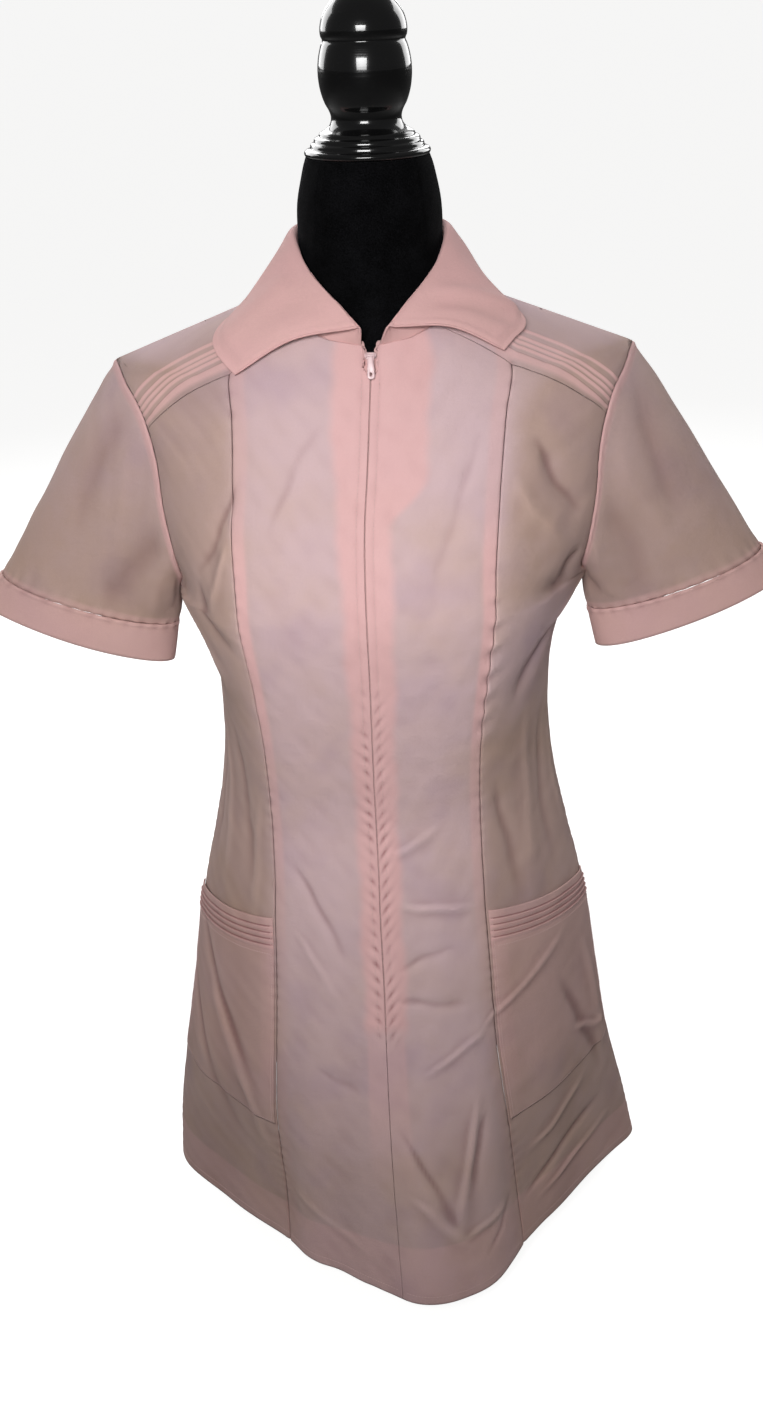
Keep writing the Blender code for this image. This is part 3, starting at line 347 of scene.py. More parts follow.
backCreases = (
    (2.20, 0.520, 2.35, 0.400, 0.0050, -0.0014),
    (2.55, 0.530, 2.60, 0.380, 0.0050, 0.0014),
    (2.85, 0.500, 2.90, 0.390, 0.0050, -0.0012),
    (3.20, 0.470, 3.75, 0.445, 0.0050, 0.0013),
    (3.15, 0.440, 3.65, 0.425, 0.0045, -0.0011),
    (3.95, 0.490, 4.60, 0.470, 0.0050, 0.0012),
    (4.30, 0.450, 4.85, 0.435, 0.0045, -0.0012),
    (2.15, 0.680, 2.75, 0.640, 0.0050, -0.0016),
    (2.15, 0.650, 2.80, 0.590, 0.0055, 0.0014),
    (5.85, 0.680, 5.30, 0.635, 0.0050, -0.0016),
    (5.80, 0.645, 5.20, 0.600, 0.0050, 0.0013),
    (5.70, 0.530, 5.60, 0.380, 0.0050, -0.0014),
    (5.40, 0.520, 5.45, 0.400, 0.0050, 0.0012),
    (3.30, 0.770, 3.90, 0.745, 0.0060, -0.0010),
    (4.70, 0.770, 4.15, 0.750, 0.0060, -0.0010),
    (3.25, 0.300, 3.45, 0.120, 0.0055, -0.0018),
    (4.55, 0.290, 4.40, 0.110, 0.0055, -0.0018),
    (2.40, 0.290, 2.60, 0.130, 0.0050, 0.0016),
    (5.60, 0.300, 5.45, 0.120, 0.0050, 0.0016),
    (3.70, 0.210, 4.25, 0.170, 0.0040, 0.0014),
    (3.50, 0.110, 4.05, 0.075, 0.0040, -0.0014),
    (2.30, 0.110, 2.80, 0.070, 0.0035, 0.0014),
    (5.65, 0.120, 5.20, 0.080, 0.0035, 0.0014),
    (4.75, 0.200, 5.10, 0.120, 0.0040, 0.0012),
)

drape = {
    "turns": 8 * cut["panelWidth"],
    "waves": 0.0007,
    "crumple": 0.00016,
    "seamSink": 0.0007,
    "seamHalf": 0.0010,
    "seamPucker": 0.00022,
    "zipPucker": 0.0010,
    "allowance": 0.0110,
    "allowanceStep": 0.00010,
    "facingTop": (0.025, 0.040),
    "facingTurnLeft": (0.700, 0.732),
    "facingTurnRight": (0.66, 0.78),
    "facingLow": (0.0165, 0.0185),
    "hemDepth": 0.048,
}


def creaseLines(creases, across, up, turns=None):
    # Soft ridges and troughs along listed lines, each a little crooked.
    total = np.zeros_like(up)
    for i, (x1, z1, x2, z2, half, height) in enumerate(creases):
        dx = (x2 - x1) * cut["panelWidth"]
        dz = z2 - z1
        reach = (dx * dx + dz * dz) ** 0.5
        away = (across - x1) * cut["panelWidth"]
        if turns:
            away = (away + turns / 2) % turns - turns / 2
        along = (away * dx + (up - z1) * dz) / reach**2
        off = (away * dz - (up - z1) * dx) / reach
        off = off + half * 0.40 * np.sin(along * 4.0 + i * 1.7) + half * 0.10 * np.sin(along * 13.0 + i)
        width = half * (0.6 + 0.7 * np.clip(along, 0, 1))
        fade = smooth(-0.08, 0.30, along) * smooth(1.08, 0.65, along)
        total += height * fade * np.exp(-np.abs(off / width) ** 1.5)
    return total


def ripples(across, up, seed, low, high, count):
    # A sum of sines in seeded directions: low and high are the shortest and longest waves in metres.
    rng = np.random.default_rng(seed)
    total = np.zeros_like(up)
    for _ in range(count):
        wave = rng.uniform(low, high)
        angle = rng.uniform(0, pi)
        phase = rng.uniform(0, 2 * pi)
        total += np.sin((across * cos(angle) + up * sin(angle)) * 2 * pi / wave + phase)
    return total / count**0.5


def facingHalf(across, z):
    # The facing is wider on the wearer's left, and its edge is a little scalloped.
    side = np.where(across > 0, 1, 0)
    low = np.array(drape["facingLow"])[side]
    top = np.array(drape["facingTop"])[side]
    turned = np.where(side > 0, smooth(*drape["facingTurnLeft"], z), smooth(*drape["facingTurnRight"], z))
    half = mix(low, top, turned)
    return half + 0.0005 * np.sin(z * 2 * pi / 0.023 + side) + 0.0010 * np.sin(z * 2 * pi / 0.083 + 2 * side)


def seamDistance(around):
    # Metres to the nearest lengthwise seam of the body.
    place = np.abs(wrap(around))
    near = np.minimum(np.abs(place - 1), np.minimum(np.abs(place - 2), np.abs(place - 3)))
    return near * cut["panelWidth"]


def layersAt(around, z):
    # 1 where the cloth is double: the zip's facing, the seam allowances and the hem.
    place = np.abs(wrap(around))
    across = place * cut["panelWidth"]
    facing = smooth(0.0048, -0.0040, across - facingHalf(wrap(around), z)) * smooth(0.262, 0.285, z) * 0.95
    slit = smooth(0.0012, -0.0012, across - 0.016) * smooth(0.12, 0.24, z) * 0.40
    inner = (1 - place) * cut["panelWidth"]
    allowance = smooth(-0.0004, 0.0004, inner) * smooth(0.0028, -0.0022, inner - drape["allowance"])
    backInner = (place - 3) * cut["panelWidth"]
    backSide = smooth(-0.0004, 0.0004, backInner) * smooth(0.0028, -0.0022, backInner - drape["allowance"])
    hemLine = cut["hem"] + drape["hemDepth"] + 0.006 * np.sin(wrap(around) * 2.1 + 0.6)
    hem = smooth(0.0012, -0.0012, z - hemLine)
    low = 0.12 + 0.43 * smooth(0.30, 0.48, z) + 0.40 * smooth(0.50, 0.57, z) - 0.55 * smooth(0.67, 0.73, z)
    return np.maximum.reduce([facing, slit, allowance * low, backSide * low * 0.8, hem * 0.34])


puckerSet = {"pitch": 0.0121, "top": (0.60, 0.52), "wide": (0.0027, 0.0021), "pinchAt": 0.0055,
             "bulgeAt": 0.0075, "bulgeWide": 0.0045}


def zipPinch(across, z):
    # Puckers beside the zip: how deep each pinch is, and the soft bulges between them.
    p = puckerSet
    side = np.where(across > 0, 1.0, 0.0)
    reach = np.abs(across)
    part = smooth(*p["top"], z) * smooth(cut["zipEnd"] - 0.02, cut["zipEnd"] + 0.02, z)
    drift = 1.1 * np.sin(z * 31) + 0.6 * np.sin(z * 83) + 1.9 * side
    slant = (z - reach * (0.75 + 0.5 * side)) * 2 * pi / p["pitch"] + drift
    uneven = 0.62 + 0.38 * np.sin(z * 71 + 2.2 * side) * np.sin(z * 29 + 1)
    wide = np.where(across > 0, *p["wide"])
    pinch = np.maximum(0.0, np.sin(slant)) ** 3 * np.exp(-((reach - p["pinchAt"]) / wide) ** 2)
    bulge = np.maximum(0.0, -np.sin(slant)) * np.exp(-((reach - p["bulgeAt"]) / p["bulgeWide"]) ** 2)
    return part * uneven * pinch, part * uneven * bulge


def wrinkle(around, z):
    across = wrap(around) * cut["panelWidth"]
    place = np.abs(wrap(around))
    total = creaseLines(frontCreases, wrap(around), z) + creaseLines(backCreases, around, z, drape["turns"])
    hang = smooth(0.50, 0.10, z)
    ring = 2 * pi * wrap(around) / 8
    swell = np.sin(ring * 11 + z * 9) + np.sin(ring * 17 - z * 14) + 0.7 * np.sin(ring * 5 + z * 21)
    total += drape["waves"] * hang * swell
    total += drape["crumple"] * ripples(np.sin(ring) * 0.15, z + 0.1 * np.cos(ring), 3, 0.014, 0.05, 14)
    seam = seamDistance(around)
    onSeam = smooth(0.832, 0.80, z)
    total -= drape["seamSink"] * np.exp(-(seam / drape["seamHalf"]) ** 2) * onSeam
    beat = np.sin(z * 2 * pi / 0.011 + 1.3 * np.sin(z * 60)) * (0.5 + 0.5 * np.sin(z * 37 + place * 3))
    total += drape["seamPucker"] * beat * np.exp(-(seam / 0.006) ** 2) * onSeam
    shaky = 0.0011 * np.exp(-((across - 0.0955) / 0.007) ** 2) * smooth(0.50, 0.56, z) * smooth(0.68, 0.60, z)
    total += shaky * np.sin(z * 2 * pi / 0.021 + 0.8)
    pinch, bulge = zipPinch(across, z)
    total += drape["zipPucker"] * (0.5 * bulge - pinch)
    stitched = np.exp(-((np.abs(across) - cut["stitchLine"]) / 0.0009) ** 2)
    total -= 0.00035 * stitched * smooth(cut["zipEnd"] - 0.01, cut["zipEnd"], z)
    total += drape["allowanceStep"] * layersAt(around, z)
    atArm = (np.abs(place - 2) < 0.2) & (z > cut["armpit"])
    fade = np.where(atArm, smooth(0.01, 0.2, np.abs(place - 2)), 1.0)
    return total * fade * smooth(0.853, 0.83, z)


def garmentSkin(around, z, lift=0.0):
    # A point on the cloth's outer face with its creases, raised by lift.
    around, z = np.broadcast_arrays(np.asarray(around, float), np.asarray(z, float))
    height = wrinkle(around, z) + lift
    return garmentPoint(around, z) + garmentNormal(around, z) * height[..., None]


# The cloth pieces are grids whose points are then moved, with a Solidify wall behind the outer face.
shellSet = {"single": 0.0006, "double": 0.0012, "fine": 0.0008}


def spread(length, spacing, fineEnds=(True, True)):
    # Shares from 0 to 1, closer together near the ends that are seams.
    fine = shellSet["fine"] / length
    near = [fine * k for k in (0, 1, 2, 3.2, 4.8)]
    first = near if fineEnds[0] else [0.0]
    last = [1 - value for value in reversed(near)] if fineEnds[1] else [1.0]
    count = max(2, round((last[0] - first[-1]) * length / spacing))
    middle = [mix(first[-1], last[0], k / count) for k in range(1, count)]
    return np.array(first + middle + last)


def meshData(name, mesh):
    data = bpy.data.meshes.new(name)
    mesh.to_mesh(data)
    mesh.free()
    return data


def addObject(name, data):
    made = bpy.data.objects.new(name, data)
    bpy.context.scene.collection.objects.link(made)
    return made


def clothGrid(name, columns, rows, place, closed=False, thick=None):
    # place gives points, outward directions and named values for arrays of shares.
    mesh = bmesh.new()
    bmesh.ops.create_grid(mesh, x_segments=len(columns) - 1, y_segments=len(rows) - 1, size=0.5)
    data = meshData(name, mesh)
    count = len(data.vertices)
    spots = np.empty(count * 3, np.float32)
    data.vertices.foreach_get("co", spots)
    spots = spots.reshape(-1, 3) + 0.5
    col = np.rint(spots[:, 0] * (len(columns) - 1)).astype(int)
    row = np.rint(spots[:, 1] * (len(rows) - 1)).astype(int)
    points, outward, values = place(columns[col], rows[row])
    data.vertices.foreach_set("co", points.astype(np.float32).ravel())

    grid = np.empty((len(rows), len(columns), 3))
    grid[row, col] = points
    stepX = np.linalg.norm(np.diff(grid, axis=1), axis=2)
    runX = np.concatenate([np.zeros((len(rows), 1)), np.cumsum(stepX, axis=1)], axis=1)
    middle = len(columns) // 2
    runX = runX - runX[:, middle:middle + 1]
    stepY = np.linalg.norm(np.diff(grid[:, middle], axis=0), axis=1)
    runY = np.concatenate([[0.0], np.cumsum(stepY)])
    flat = np.stack([runX[row, col], runY[row]], -1)
    corner = np.empty(len(data.loops), np.int32)
    data.loops.foreach_get("vertex_index", corner)
    uv = data.uv_layers.new(name="grain")
    uv.data.foreach_set("uv", flat[corner].astype(np.float32).ravel())

    for key, value in values.items():
        attribute = data.attributes.new(key, "FLOAT", "POINT")
        attribute.data.foreach_set("value", np.broadcast_to(value, (count,)).astype(np.float32))
    faceOutwards(data, outward)
    if closed:
        weld = bmesh.new()
        weld.from_mesh(data)
        bmesh.ops.remove_doubles(weld, verts=weld.verts[:], dist=1e-6)
        weld.to_mesh(data)
        weld.free()
    data.shade_smooth()
    piece = addObject(name, data)
    wall = piece.modifiers.new("wall", "SOLIDIFY")
    wall.thickness = thick or shellSet["double"]
    wall.offset = -1.0
    wall.use_even_offset = False
    if thick is None:
        group = piece.vertex_groups.new(name="layers")
        layers = np.empty(len(data.vertices), np.float32)
        data.attributes["layers"].data.foreach_get("value", layers)
        for index in np.flatnonzero(layers > 0.02):
            group.add([int(index)], float(layers[index]), "REPLACE")
        wall.vertex_group = "layers"
        wall.thickness_vertex_group = shellSet["single"] / shellSet["double"]
    print("made", name, len(data.vertices), "points")
    return piece


def faceOutwards(data, outward):
    # Faces look the way the outward directions at their corners do.
    normals = np.empty(len(data.polygons) * 3, np.float32)
    data.polygons.foreach_get("normal", normals)
    starts = np.empty(len(data.polygons), np.int32)
    data.polygons.foreach_get("loop_start", starts)
    corner = np.empty(len(data.loops), np.int32)
    data.loops.foreach_get("vertex_index", corner)
    if (normals.reshape(-1, 3) * outward[corner[starts]]).sum() < 0:
        data.flip_normals()


# Sections of the form: z, front y, princess x, princess y, side x, back x, back y, rear y
formRows = (
    (0.203, -0.098, 0.062, -0.086, 0.142, 0.060, 0.086, 0.094),
    (0.209, -0.107, 0.069, -0.094, 0.151, 0.067, 0.094, 0.102),
    (0.225, -0.111, 0.073, -0.098, 0.156, 0.071, 0.097, 0.106),
    (0.265, -0.112, 0.075, -0.100, 0.158, 0.073, 0.097, 0.106),
    (0.353, -0.104, 0.074, -0.092, 0.147, 0.071, 0.087, 0.095),
    (0.410, -0.092, 0.071, -0.081, 0.130, 0.070, 0.078, 0.084),
    (0.454, -0.085, 0.068, -0.074, 0.118, 0.068, 0.070, 0.076),
    (0.500, -0.092, 0.070, -0.081, 0.117, 0.070, 0.073, 0.079),
    (0.545, -0.106, 0.078, -0.098, 0.121, 0.075, 0.079, 0.084),
    (0.590, -0.120, 0.084, -0.112, 0.130, 0.083, 0.085, 0.090),
    (0.620, -0.122, 0.086, -0.116, 0.137, 0.087, 0.089, 0.093),
    (0.655, -0.117, 0.087, -0.110, 0.144, 0.090, 0.092, 0.096),
    (0.700, -0.109, 0.088, -0.098, 0.148, 0.093, 0.094, 0.098),
    (0.740, -0.097, 0.089, -0.088, 0.152, 0.094, 0.091, 0.095),
    (0.773, -0.087, 0.090, -0.074, 0.158, 0.093, 0.081, 0.089),
    (0.791, -0.0805, 0.091, -0.066, 0.166, 0.092, 0.072, 0.083),
    (0.800, -0.077, 0.091, -0.060, 0.171, 0.090, 0.0655, 0.079),
    (0.806, -0.075, 0.089, -0.056, 0.167, 0.088, 0.061, 0.0765),
    (0.820, -0.069, 0.083, -0.048, 0.1310, 0.080, 0.048, 0.067),
    (0.835, -0.0605, 0.063, -0.038, 0.0925, 0.063, 0.039, 0.059),
    (0.846, -0.0545, 0.045, -0.0310, 0.0600, 0.0455, 0.0305, 0.0505),
    (0.852, -0.052, 0.0385, -0.0325, 0.0525, 0.039, 0.0320, 0.0480),
    (0.870, -0.0510, 0.0375, -0.0345, 0.0525, 0.0380, 0.0345, 0.0495),
    (0.905, -0.0495, 0.0368, -0.0338, 0.0518, 0.0372, 0.0343, 0.0495),
    (0.930, -0.0455, 0.0332, -0.0314, 0.0468, 0.0332, 0.0318, 0.0455),
    (0.938, -0.0432, 0.0310, -0.0301, 0.0441, 0.0310, 0.0306, 0.0432),
)


def formPlan(around, z):
    around = wrap(around)
    front, px, py, sideX, bx, by, rear = np.moveaxis(rowAt(formRows, z), -1, 0)
    side = np.stack([np.where(around >= 0, 1, -1) * sideX, np.zeros_like(sideX)], -1)
    return ringPoint(around, front, (px, py), side, side, (bx, by), rear, np.zeros_like(front))


def gapAndShadeAt(around, z):
    # 0 where the cloth lies on the form and 1 where it hangs 20 mm or more clear of it. It is scaled down on
    # the front and less so on the flanks and near the bottom, so the darker clear tone falls there as painted
    # shade.
    reach = np.linalg.norm(garmentPoint(around, z)[..., :2] - formPlan(around, z), axis=-1)
    flank = 0.25 + 0.75 * smooth(0.80, 1.15, np.abs(wrap(around))) + 0.35 * smooth(0.32, 0.12, z)
    return np.maximum(smooth(0.003, 0.020, reach), smooth(0.23, 0.19, z)) * np.minimum(flank, 1.0)


def clothValues(around, z):
    # What the cloth's material reads at each point.
    height = wrinkle(around, z)
    step = 0.05
    beside = (wrinkle(around + step, z) + wrinkle(around - step, z)) / 2
    above = (wrinkle(around, z + 0.005) + wrinkle(around, z - 0.005)) / 2
    # Painted shade in the wrinkles' troughs and a painted highlight on their ridges; the zip's pinches get
    # painted shade and the bulges between them a painted highlight.
    bend = np.clip((height - (beside + above) / 2) / 0.0009, -1, 1)
    pinch, bulge = zipPinch(wrap(around) * cut["panelWidth"], z)
    bend = bend - 0.45 * pinch + 0.22 * bulge
    # The seam allowances are lightened between the waist and the upper chest.
    doubled = smooth(drape["allowance"] + 0.003, drape["allowance"] - 0.003, seamDistance(around))
    bend = bend + 0.25 * doubled * smooth(0.46, 0.56, z) * smooth(0.75, 0.68, z)
    # Painted shade on the flanks low down, deeper on the wearer's right.
    place = wrap(around)
    atSide = smooth(1.05, 1.40, np.abs(place)) * smooth(2.9, 2.3, np.abs(place))
    shade = np.where(place < 0, 0.30, 0.10) * atSide
    bend = bend - shade * smooth(0.60, 0.50, z)
    return {
        "layers": layersAt(around, z),
        "gap": gapAndShadeAt(around, z),
        "crease": 0.5 + 0.5 * bend,
        "height": z,
    }


def panelSkin(around, z):
    return garmentSkin(around, z), garmentNormal(around, z), clothValues(around, z)


# Body panels
def slitHalf(z):
    zipPart = cut["zipSlit"] * smooth(cut["zipEnd"] - 0.004, cut["zipEnd"] + 0.006, z)
    atSlider = smooth(cut["sliderZ"] - 0.013, cut["sliderZ"] - 0.007, z)
    sliderPart = (cut["sliderSlit"] - cut["zipSlit"]) * atSlider
    return cut["seamGap"] / 2 + zipPart + sliderPart


def frontPanel(sign, name):
    span = cut["neckSide"] - cut["hem"]

    def place(s, t):
        z = mix(cut["hem"], lineAt(frontTop, s), t * (1 - cut["seamGap"] / 2 / span))
        slit = slitHalf(z) / rowAt(bodyRows, z)[:, 2]
        around = sign * np.clip(s, slit, 1 - 0.0017)
        return panelSkin(around, z)

    columns = spread(cut["panelWidth"], 0.0021)
    rows = spread(span, 0.0021, (False, True))
    return clothGrid(name, columns, rows, place)


def sideFrontPanel(sign, name):
    def place(s, t):
        z = mix(cut["hem"], lineAt(frontTop, 1 + s) - cut["seamGap"] / 2, t)
        around = sign * (1 + mix(0.0017, 0.9985, s))
        return panelSkin(around, z)

    columns = spread(cut["panelWidth"], 0.0022)
    return clothGrid(name, columns, spread(0.75, 0.0022, (False, True)), place)


def coons(bottom, top, left, right):
    # A patch between four edges, each given in places round the body and heights.
    def corner(edge, share):
        return edge(np.array([share]))[0]

    def patch(s, t):
        ruled = mix(bottom(s), top(s), t[:, None]) + mix(left(t), right(t), s[:, None])
        low = mix(corner(bottom, 0.0), corner(bottom, 1.0), s[:, None])
        high = mix(corner(top, 0.0), corner(top, 1.0), s[:, None])
        return ruled - mix(low, high, t[:, None])

    return patch


# Pin tucks: each lip's distance from the edge they follow, and how much further off it is at the collar
yokeSet = {"neckPlace": 0.55, "join": 0.56, "lips": (0.0042, 0.0100, 0.0144, 0.0188, 0.0262), "drift": 0.0055,
           "tuckHeight": 0.0012, "tuckWide": 0.0030}


def tuckProfile(distance, lips, wide, height):
    # A tuck rises gently to its folded lip and drops off steeply behind it.
    # Gives its height, its painted shadow line under the lip and its band.
    rise, line, band = np.zeros_like(distance), np.zeros_like(distance), np.zeros_like(distance)
    for lip in lips:
        off = distance - lip
        body = smooth(-wide, -0.0003, off) * smooth(0.0003, 0.0, off)
        rise = np.maximum(rise, height * body)
        line = np.maximum(line, np.exp(-((off - 0.0004) / 0.00042) ** 2))
        band = np.maximum(band, smooth(-wide, -wide * 0.6, off) * smooth(0.0002, -0.0002, off))
    return rise - height * 0.25 * line, line, band


def tuckRows(lips, wide):
    steps = (-wide, -wide * 0.6, -wide * 0.28, -0.0003, 0.0, 0.0003, 0.0006, 0.0012)
    return sorted({round(lip + step, 6) for lip in lips for step in steps})


def yokePanel(sign, name):
    y = yokeSet

    def bottom(s):
        around = np.where(s < y["join"], mix(2.0, 1.0, s / y["join"]),
                          mix(1.0, y["neckPlace"], (s - y["join"]) / (1 - y["join"])))
        return np.stack([sign * around, lineAt(frontTop, around)], -1)

    def right(t):
        around = mix(y["neckPlace"], 2.0, t)
        return np.stack([sign * around, lineAt(neckline, around)], -1)

    patch = coons(
        bottom,
        lambda s: np.stack([np.full_like(s, sign * 2.0), mix(cut["tip"], cut["neckSide"], s)], -1),
        lambda t: np.stack([np.full_like(t, sign * 2.0), mix(cut["yokeArmhole"], cut["tip"], t)], -1),
        right,
    )

    lips = y["lips"]
    last = lips[-1] + 0.0015
    seamS = np.linspace(0, 1, 300)
    seamSpots = bottom(seamS)
    seamLine = garmentPoint(seamSpots[:, 0], seamSpots[:, 1])
    samples = np.linspace(0.0, 1.0, 90)

    def rowShare(s, row):
        # The share of the column at which a row lies: rows up to 1 keep their distance from the yoke's seam.
        share = np.empty_like(row)
        for value in np.unique(s):
            here = s == value
            spots = patch(np.full_like(samples, mix(0.001, 0.999, value)), mix(0.003, 0.997, samples))
            line = garmentPoint(spots[:, 0], spots[:, 1])
            away = np.linalg.norm(line[:, None] - seamLine[None], axis=2).min(axis=1)
            away = np.maximum.accumulate(away) + samples * 1e-6
            drift = y["drift"] * smooth(0.0, 0.45, value)
            wanted = np.minimum(row[here], 1.0) * last
            wanted = wanted + drift * smooth(0.0, lips[0], wanted)
            low = np.interp(wanted, away, samples)
            share[here] = mix(low, 1.0, np.maximum(row[here] - 1.0, 0.0))
        return share

    def place(s, row):
        t = rowShare(s, row)
        spots = patch(mix(0.001, 0.999, s), mix(0.003, 0.997, t))
        around, z = spots[:, 0], spots[:, 1]
        distance = np.where(row > 1, last + row, row * last)
        ridge, line, band = tuckProfile(distance, lips, y["tuckWide"], y["tuckHeight"])
        ends = smooth(0.0, 0.012, s)
        values = clothValues(around, z)
        values["layers"] = np.maximum(values["layers"], band * 0.62)
        # Painted shadow: a dark line under each tuck's lip, and a painted highlight on the raised band.
        values["crease"] = values["crease"] - 0.75 * line + 0.30 * band * (1 - line)
        return garmentSkin(around, z, ridge * ends), garmentNormal(around, z), values

    columns = spread(0.15, 0.0020)
    rows = [0.0, 0.0006 / last] + [level / last for level in tuckRows(lips, y["tuckWide"]) if level > 0.0008]
    rows += [mix(max(rows), 2.0, k / 16) for k in range(1, 17)]
    return clothGrid(name, columns, np.array(rows), place)


def backTurn(t):
    return 1 - np.minimum((1 - t) / 0.06, 1.0) ** 0.5


def backRows():
    low = spread(0.94, 0.0030 / 0.8 * 0.94, (False, False)) * 0.94
    high = 1 - 0.06 * (1 - np.linspace(0, 1, 27)[1:]) ** 2
    return np.concatenate([low, high])


def sideBackPanel(sign, name):
    def place(s, t):
        s = mix(0.0015, 0.998, s)
        around = sign * mix(2 + s, 2.0 + 0.0015, backTurn(t))
        z = mix(cut["hem"], mix(cut["tip"], cut["backSeam"], s) - 0.0003, t)
        return panelSkin(around, z)

    return clothGrid(name, spread(cut["panelWidth"], 0.0029), backRows(), place)


def backPanel(name):
    shoulder = 0.25

    def place(s, t):
        inner = np.clip((s - shoulder) / (1 - 2 * shoulder), 0, 1)
        around = mix(2.002, 5.998, inner)
        slope = np.minimum(s, 1 - s) / shoulder
        top = mix(cut["backSeam"], cut["neckSide"], np.clip(slope, 0, 1))
        around = mix(mix(3.002, 4.998, s), around, backTurn(t))
        z = mix(cut["hem"], top, t)
        return panelSkin(around, z)

    return clothGrid(name, spread(0.20, 0.0029), backRows(), place)


# Sleeves and cuffs: the ring where the cuff starts, and its hem
cuffTop = {"middle": (0.232, -0.012, 0.6155), "half": (0.0680, 0.004, 0.0213), "depth": 0.0323}
cuffHem = {"middle": (0.2477, -0.014, 0.5915), "half": (0.0773, 0.006, 0.0282), "depth": 0.0333}

# Sleeve creases: turn and share of both ends, half width in metres, height
sleeveCreases = (
    (0.10, 0.05, 0.16, 0.62, 0.0070, -0.0020),
    (0.17, 0.10, 0.24, 0.85, 0.0080, 0.0018),
    (0.28, 0.12, 0.30, 0.95, 0.0070, -0.0020),
    (0.36, 0.10, 0.36, 0.90, 0.0060, 0.0016),
    (0.42, 0.06, 0.41, 0.80, 0.0055, -0.0018),
    (0.22, 0.72, 0.34, 0.82, 0.0050, -0.0012),
    (0.56, 0.08, 0.60, 0.80, 0.0060, 0.0016),
    (0.64, 0.08, 0.68, 0.85, 0.0070, -0.0020),
    (0.74, 0.06, 0.76, 0.80, 0.0075, 0.0018),
    (0.84, 0.08, 0.80, 0.70, 0.0070, -0.0018),
    (0.91, 0.10, 0.88, 0.55, 0.0070, 0.0012),
)


def alongArmhole(sign, turn):
    fall = 2 * np.where(turn <= 0.5, turn, 1 - turn)
    edge = rowAt(armholeRows, fall)
    back = turn > 0.5
    x = np.where(back, edge[..., 2], edge[..., 0])
    y = np.where(back, edge[..., 3], edge[..., 1])
    return np.stack([sign * x, y, armholeHeight(fall)], -1)


def cuffRing(ring, sign, turn):
    angle = 2 * pi * turn[..., None]
    swing = np.concatenate([np.zeros_like(angle), -ring["depth"] * np.sin(angle), np.zeros_like(angle)], -1)
    point = np.array(ring["middle"]) + np.array(ring["half"]) * np.cos(angle) + swing
    return point * np.array([sign, 1, 1])


def sleevePoint(sign, turn, t):
    start = alongArmhole(sign, turn)
    end = cuffRing(cuffTop, sign, turn)
    chord = end - start
    reach = np.linalg.norm(chord, axis=-1, keepdims=True)
    cap = np.maximum(0.0, np.cos(2 * pi * turn))[..., None] ** 0.8
    leave = chord * 0.68 + np.array([sign * 0.042, 0.0, 0.073]) * reach * cap
    axis = unit(np.array(cuffHem["middle"]) - np.array(cuffTop["middle"])) * np.array([sign, 1, 1])
    return hermite(start, end, leave, axis * reach, t[..., None])


def tubeNormal(surface, turn, t, centre):
    run = surface((turn + 0.004) % 1.0, t) - surface((turn - 0.004) % 1.0, t)
    low = np.clip(t - 0.02, 0.0, 0.96)
    normal = unit(np.cross(run, surface(turn, low + 0.04) - surface(turn, low)))
    facing = (normal * (surface(turn, t) - centre)).sum(-1, keepdims=True)
    return np.where(facing < 0, -normal, normal)


def sleeve(sign, name):
    def surface(turn, t):
        return sleevePoint(sign, turn, t)

    def place(s, t):
        turn = s % 1.0
        rings = [surface(np.full_like(t, k / 8), np.maximum(t, 0.05)) for k in range(8)]
        normal = tubeNormal(surface, turn, t, sum(rings) / 8)
        reach = np.linalg.norm(surface(turn, np.ones_like(t)) - surface(turn, np.zeros_like(t)), axis=-1)
        depth = t * reach
        height = np.zeros_like(t)
        for i, (a1, t1, a2, t2, half, amount) in enumerate(sleeveCreases):
            swing = (turn - a1 - (a2 - a1) * np.clip((t - t1) / (t2 - t1), 0, 1) + 0.5) % 1.0 - 0.5
            off = swing * 0.27 + 0.004 * np.sin(t * 6 + i * 2.1 + sign)
            fade = smooth(t1 - 0.02, t1 + 0.2, t) * smooth(t2 + 0.1, t2 - 0.2, t)
            height += amount * (1 + 0.25 * sign * sin(i * 1.9)) * fade * np.exp(-np.abs(off / half) ** 1.6)
        ringAcross, ringUp = np.sin(2 * pi * turn) * 0.08, depth + 0.05 * np.cos(2 * pi * turn)
        height += 0.00022 * ripples(ringAcross, ringUp, 5 + sign, 0.02, 0.06, 12)
        height *= smooth(0.0, 0.16, t) * smooth(1.0, 0.93, t)
        height += 0.0009 * np.exp(-((depth - 0.0034) / 0.0030) ** 2)
        beat = np.sin(turn * 0.45 * 2 * pi / 0.013 + 2 * np.sin(turn * 23))
        height += 0.0003 * beat * np.exp(-((depth - 0.003) / 0.004) ** 2)
        underSeam = np.exp(-(np.minimum(np.abs(turn - 0.5), 1) * 0.27 / 0.0016) ** 2)
        height -= 0.0008 * underSeam * smooth(0.02, 0.1, t)
        height += 0.0005 * beat * smooth(0.90, 0.99, t)
        layers = smooth(0.0125, 0.0060, depth) * 0.75 + smooth(reach - 0.007, reach - 0.004, depth) * 0.4
        gap = mix(1.0, 0.55, smooth(0.0, 1.0, np.cos(2 * pi * turn) * 0.5 + 0.5 - t))
        # Painted shade in the folds' troughs and a painted highlight on their ridges.
        bend = np.clip(height / 0.0030, -0.7, 0.7)
        values = {"layers": np.clip(layers, 0, 1), "gap": gap,
                  "crease": 0.5 + 0.4 * bend, "height": cut["tip"] + 0 * t}
        return surface(turn, mix(0.004, 1.0, t)) + normal * height[:, None], normal, values

    columns = np.linspace(0.5, 1.5, 150)
    rows = np.concatenate([np.linspace(0, 0.12, 9)[:-1], np.linspace(0.12, 1.0, 50)])
    return clothGrid(name, columns, rows, place, closed=True)


cuffSet = {"proud": 0.0009, "thick": 0.0020, "lip": 0.0006}


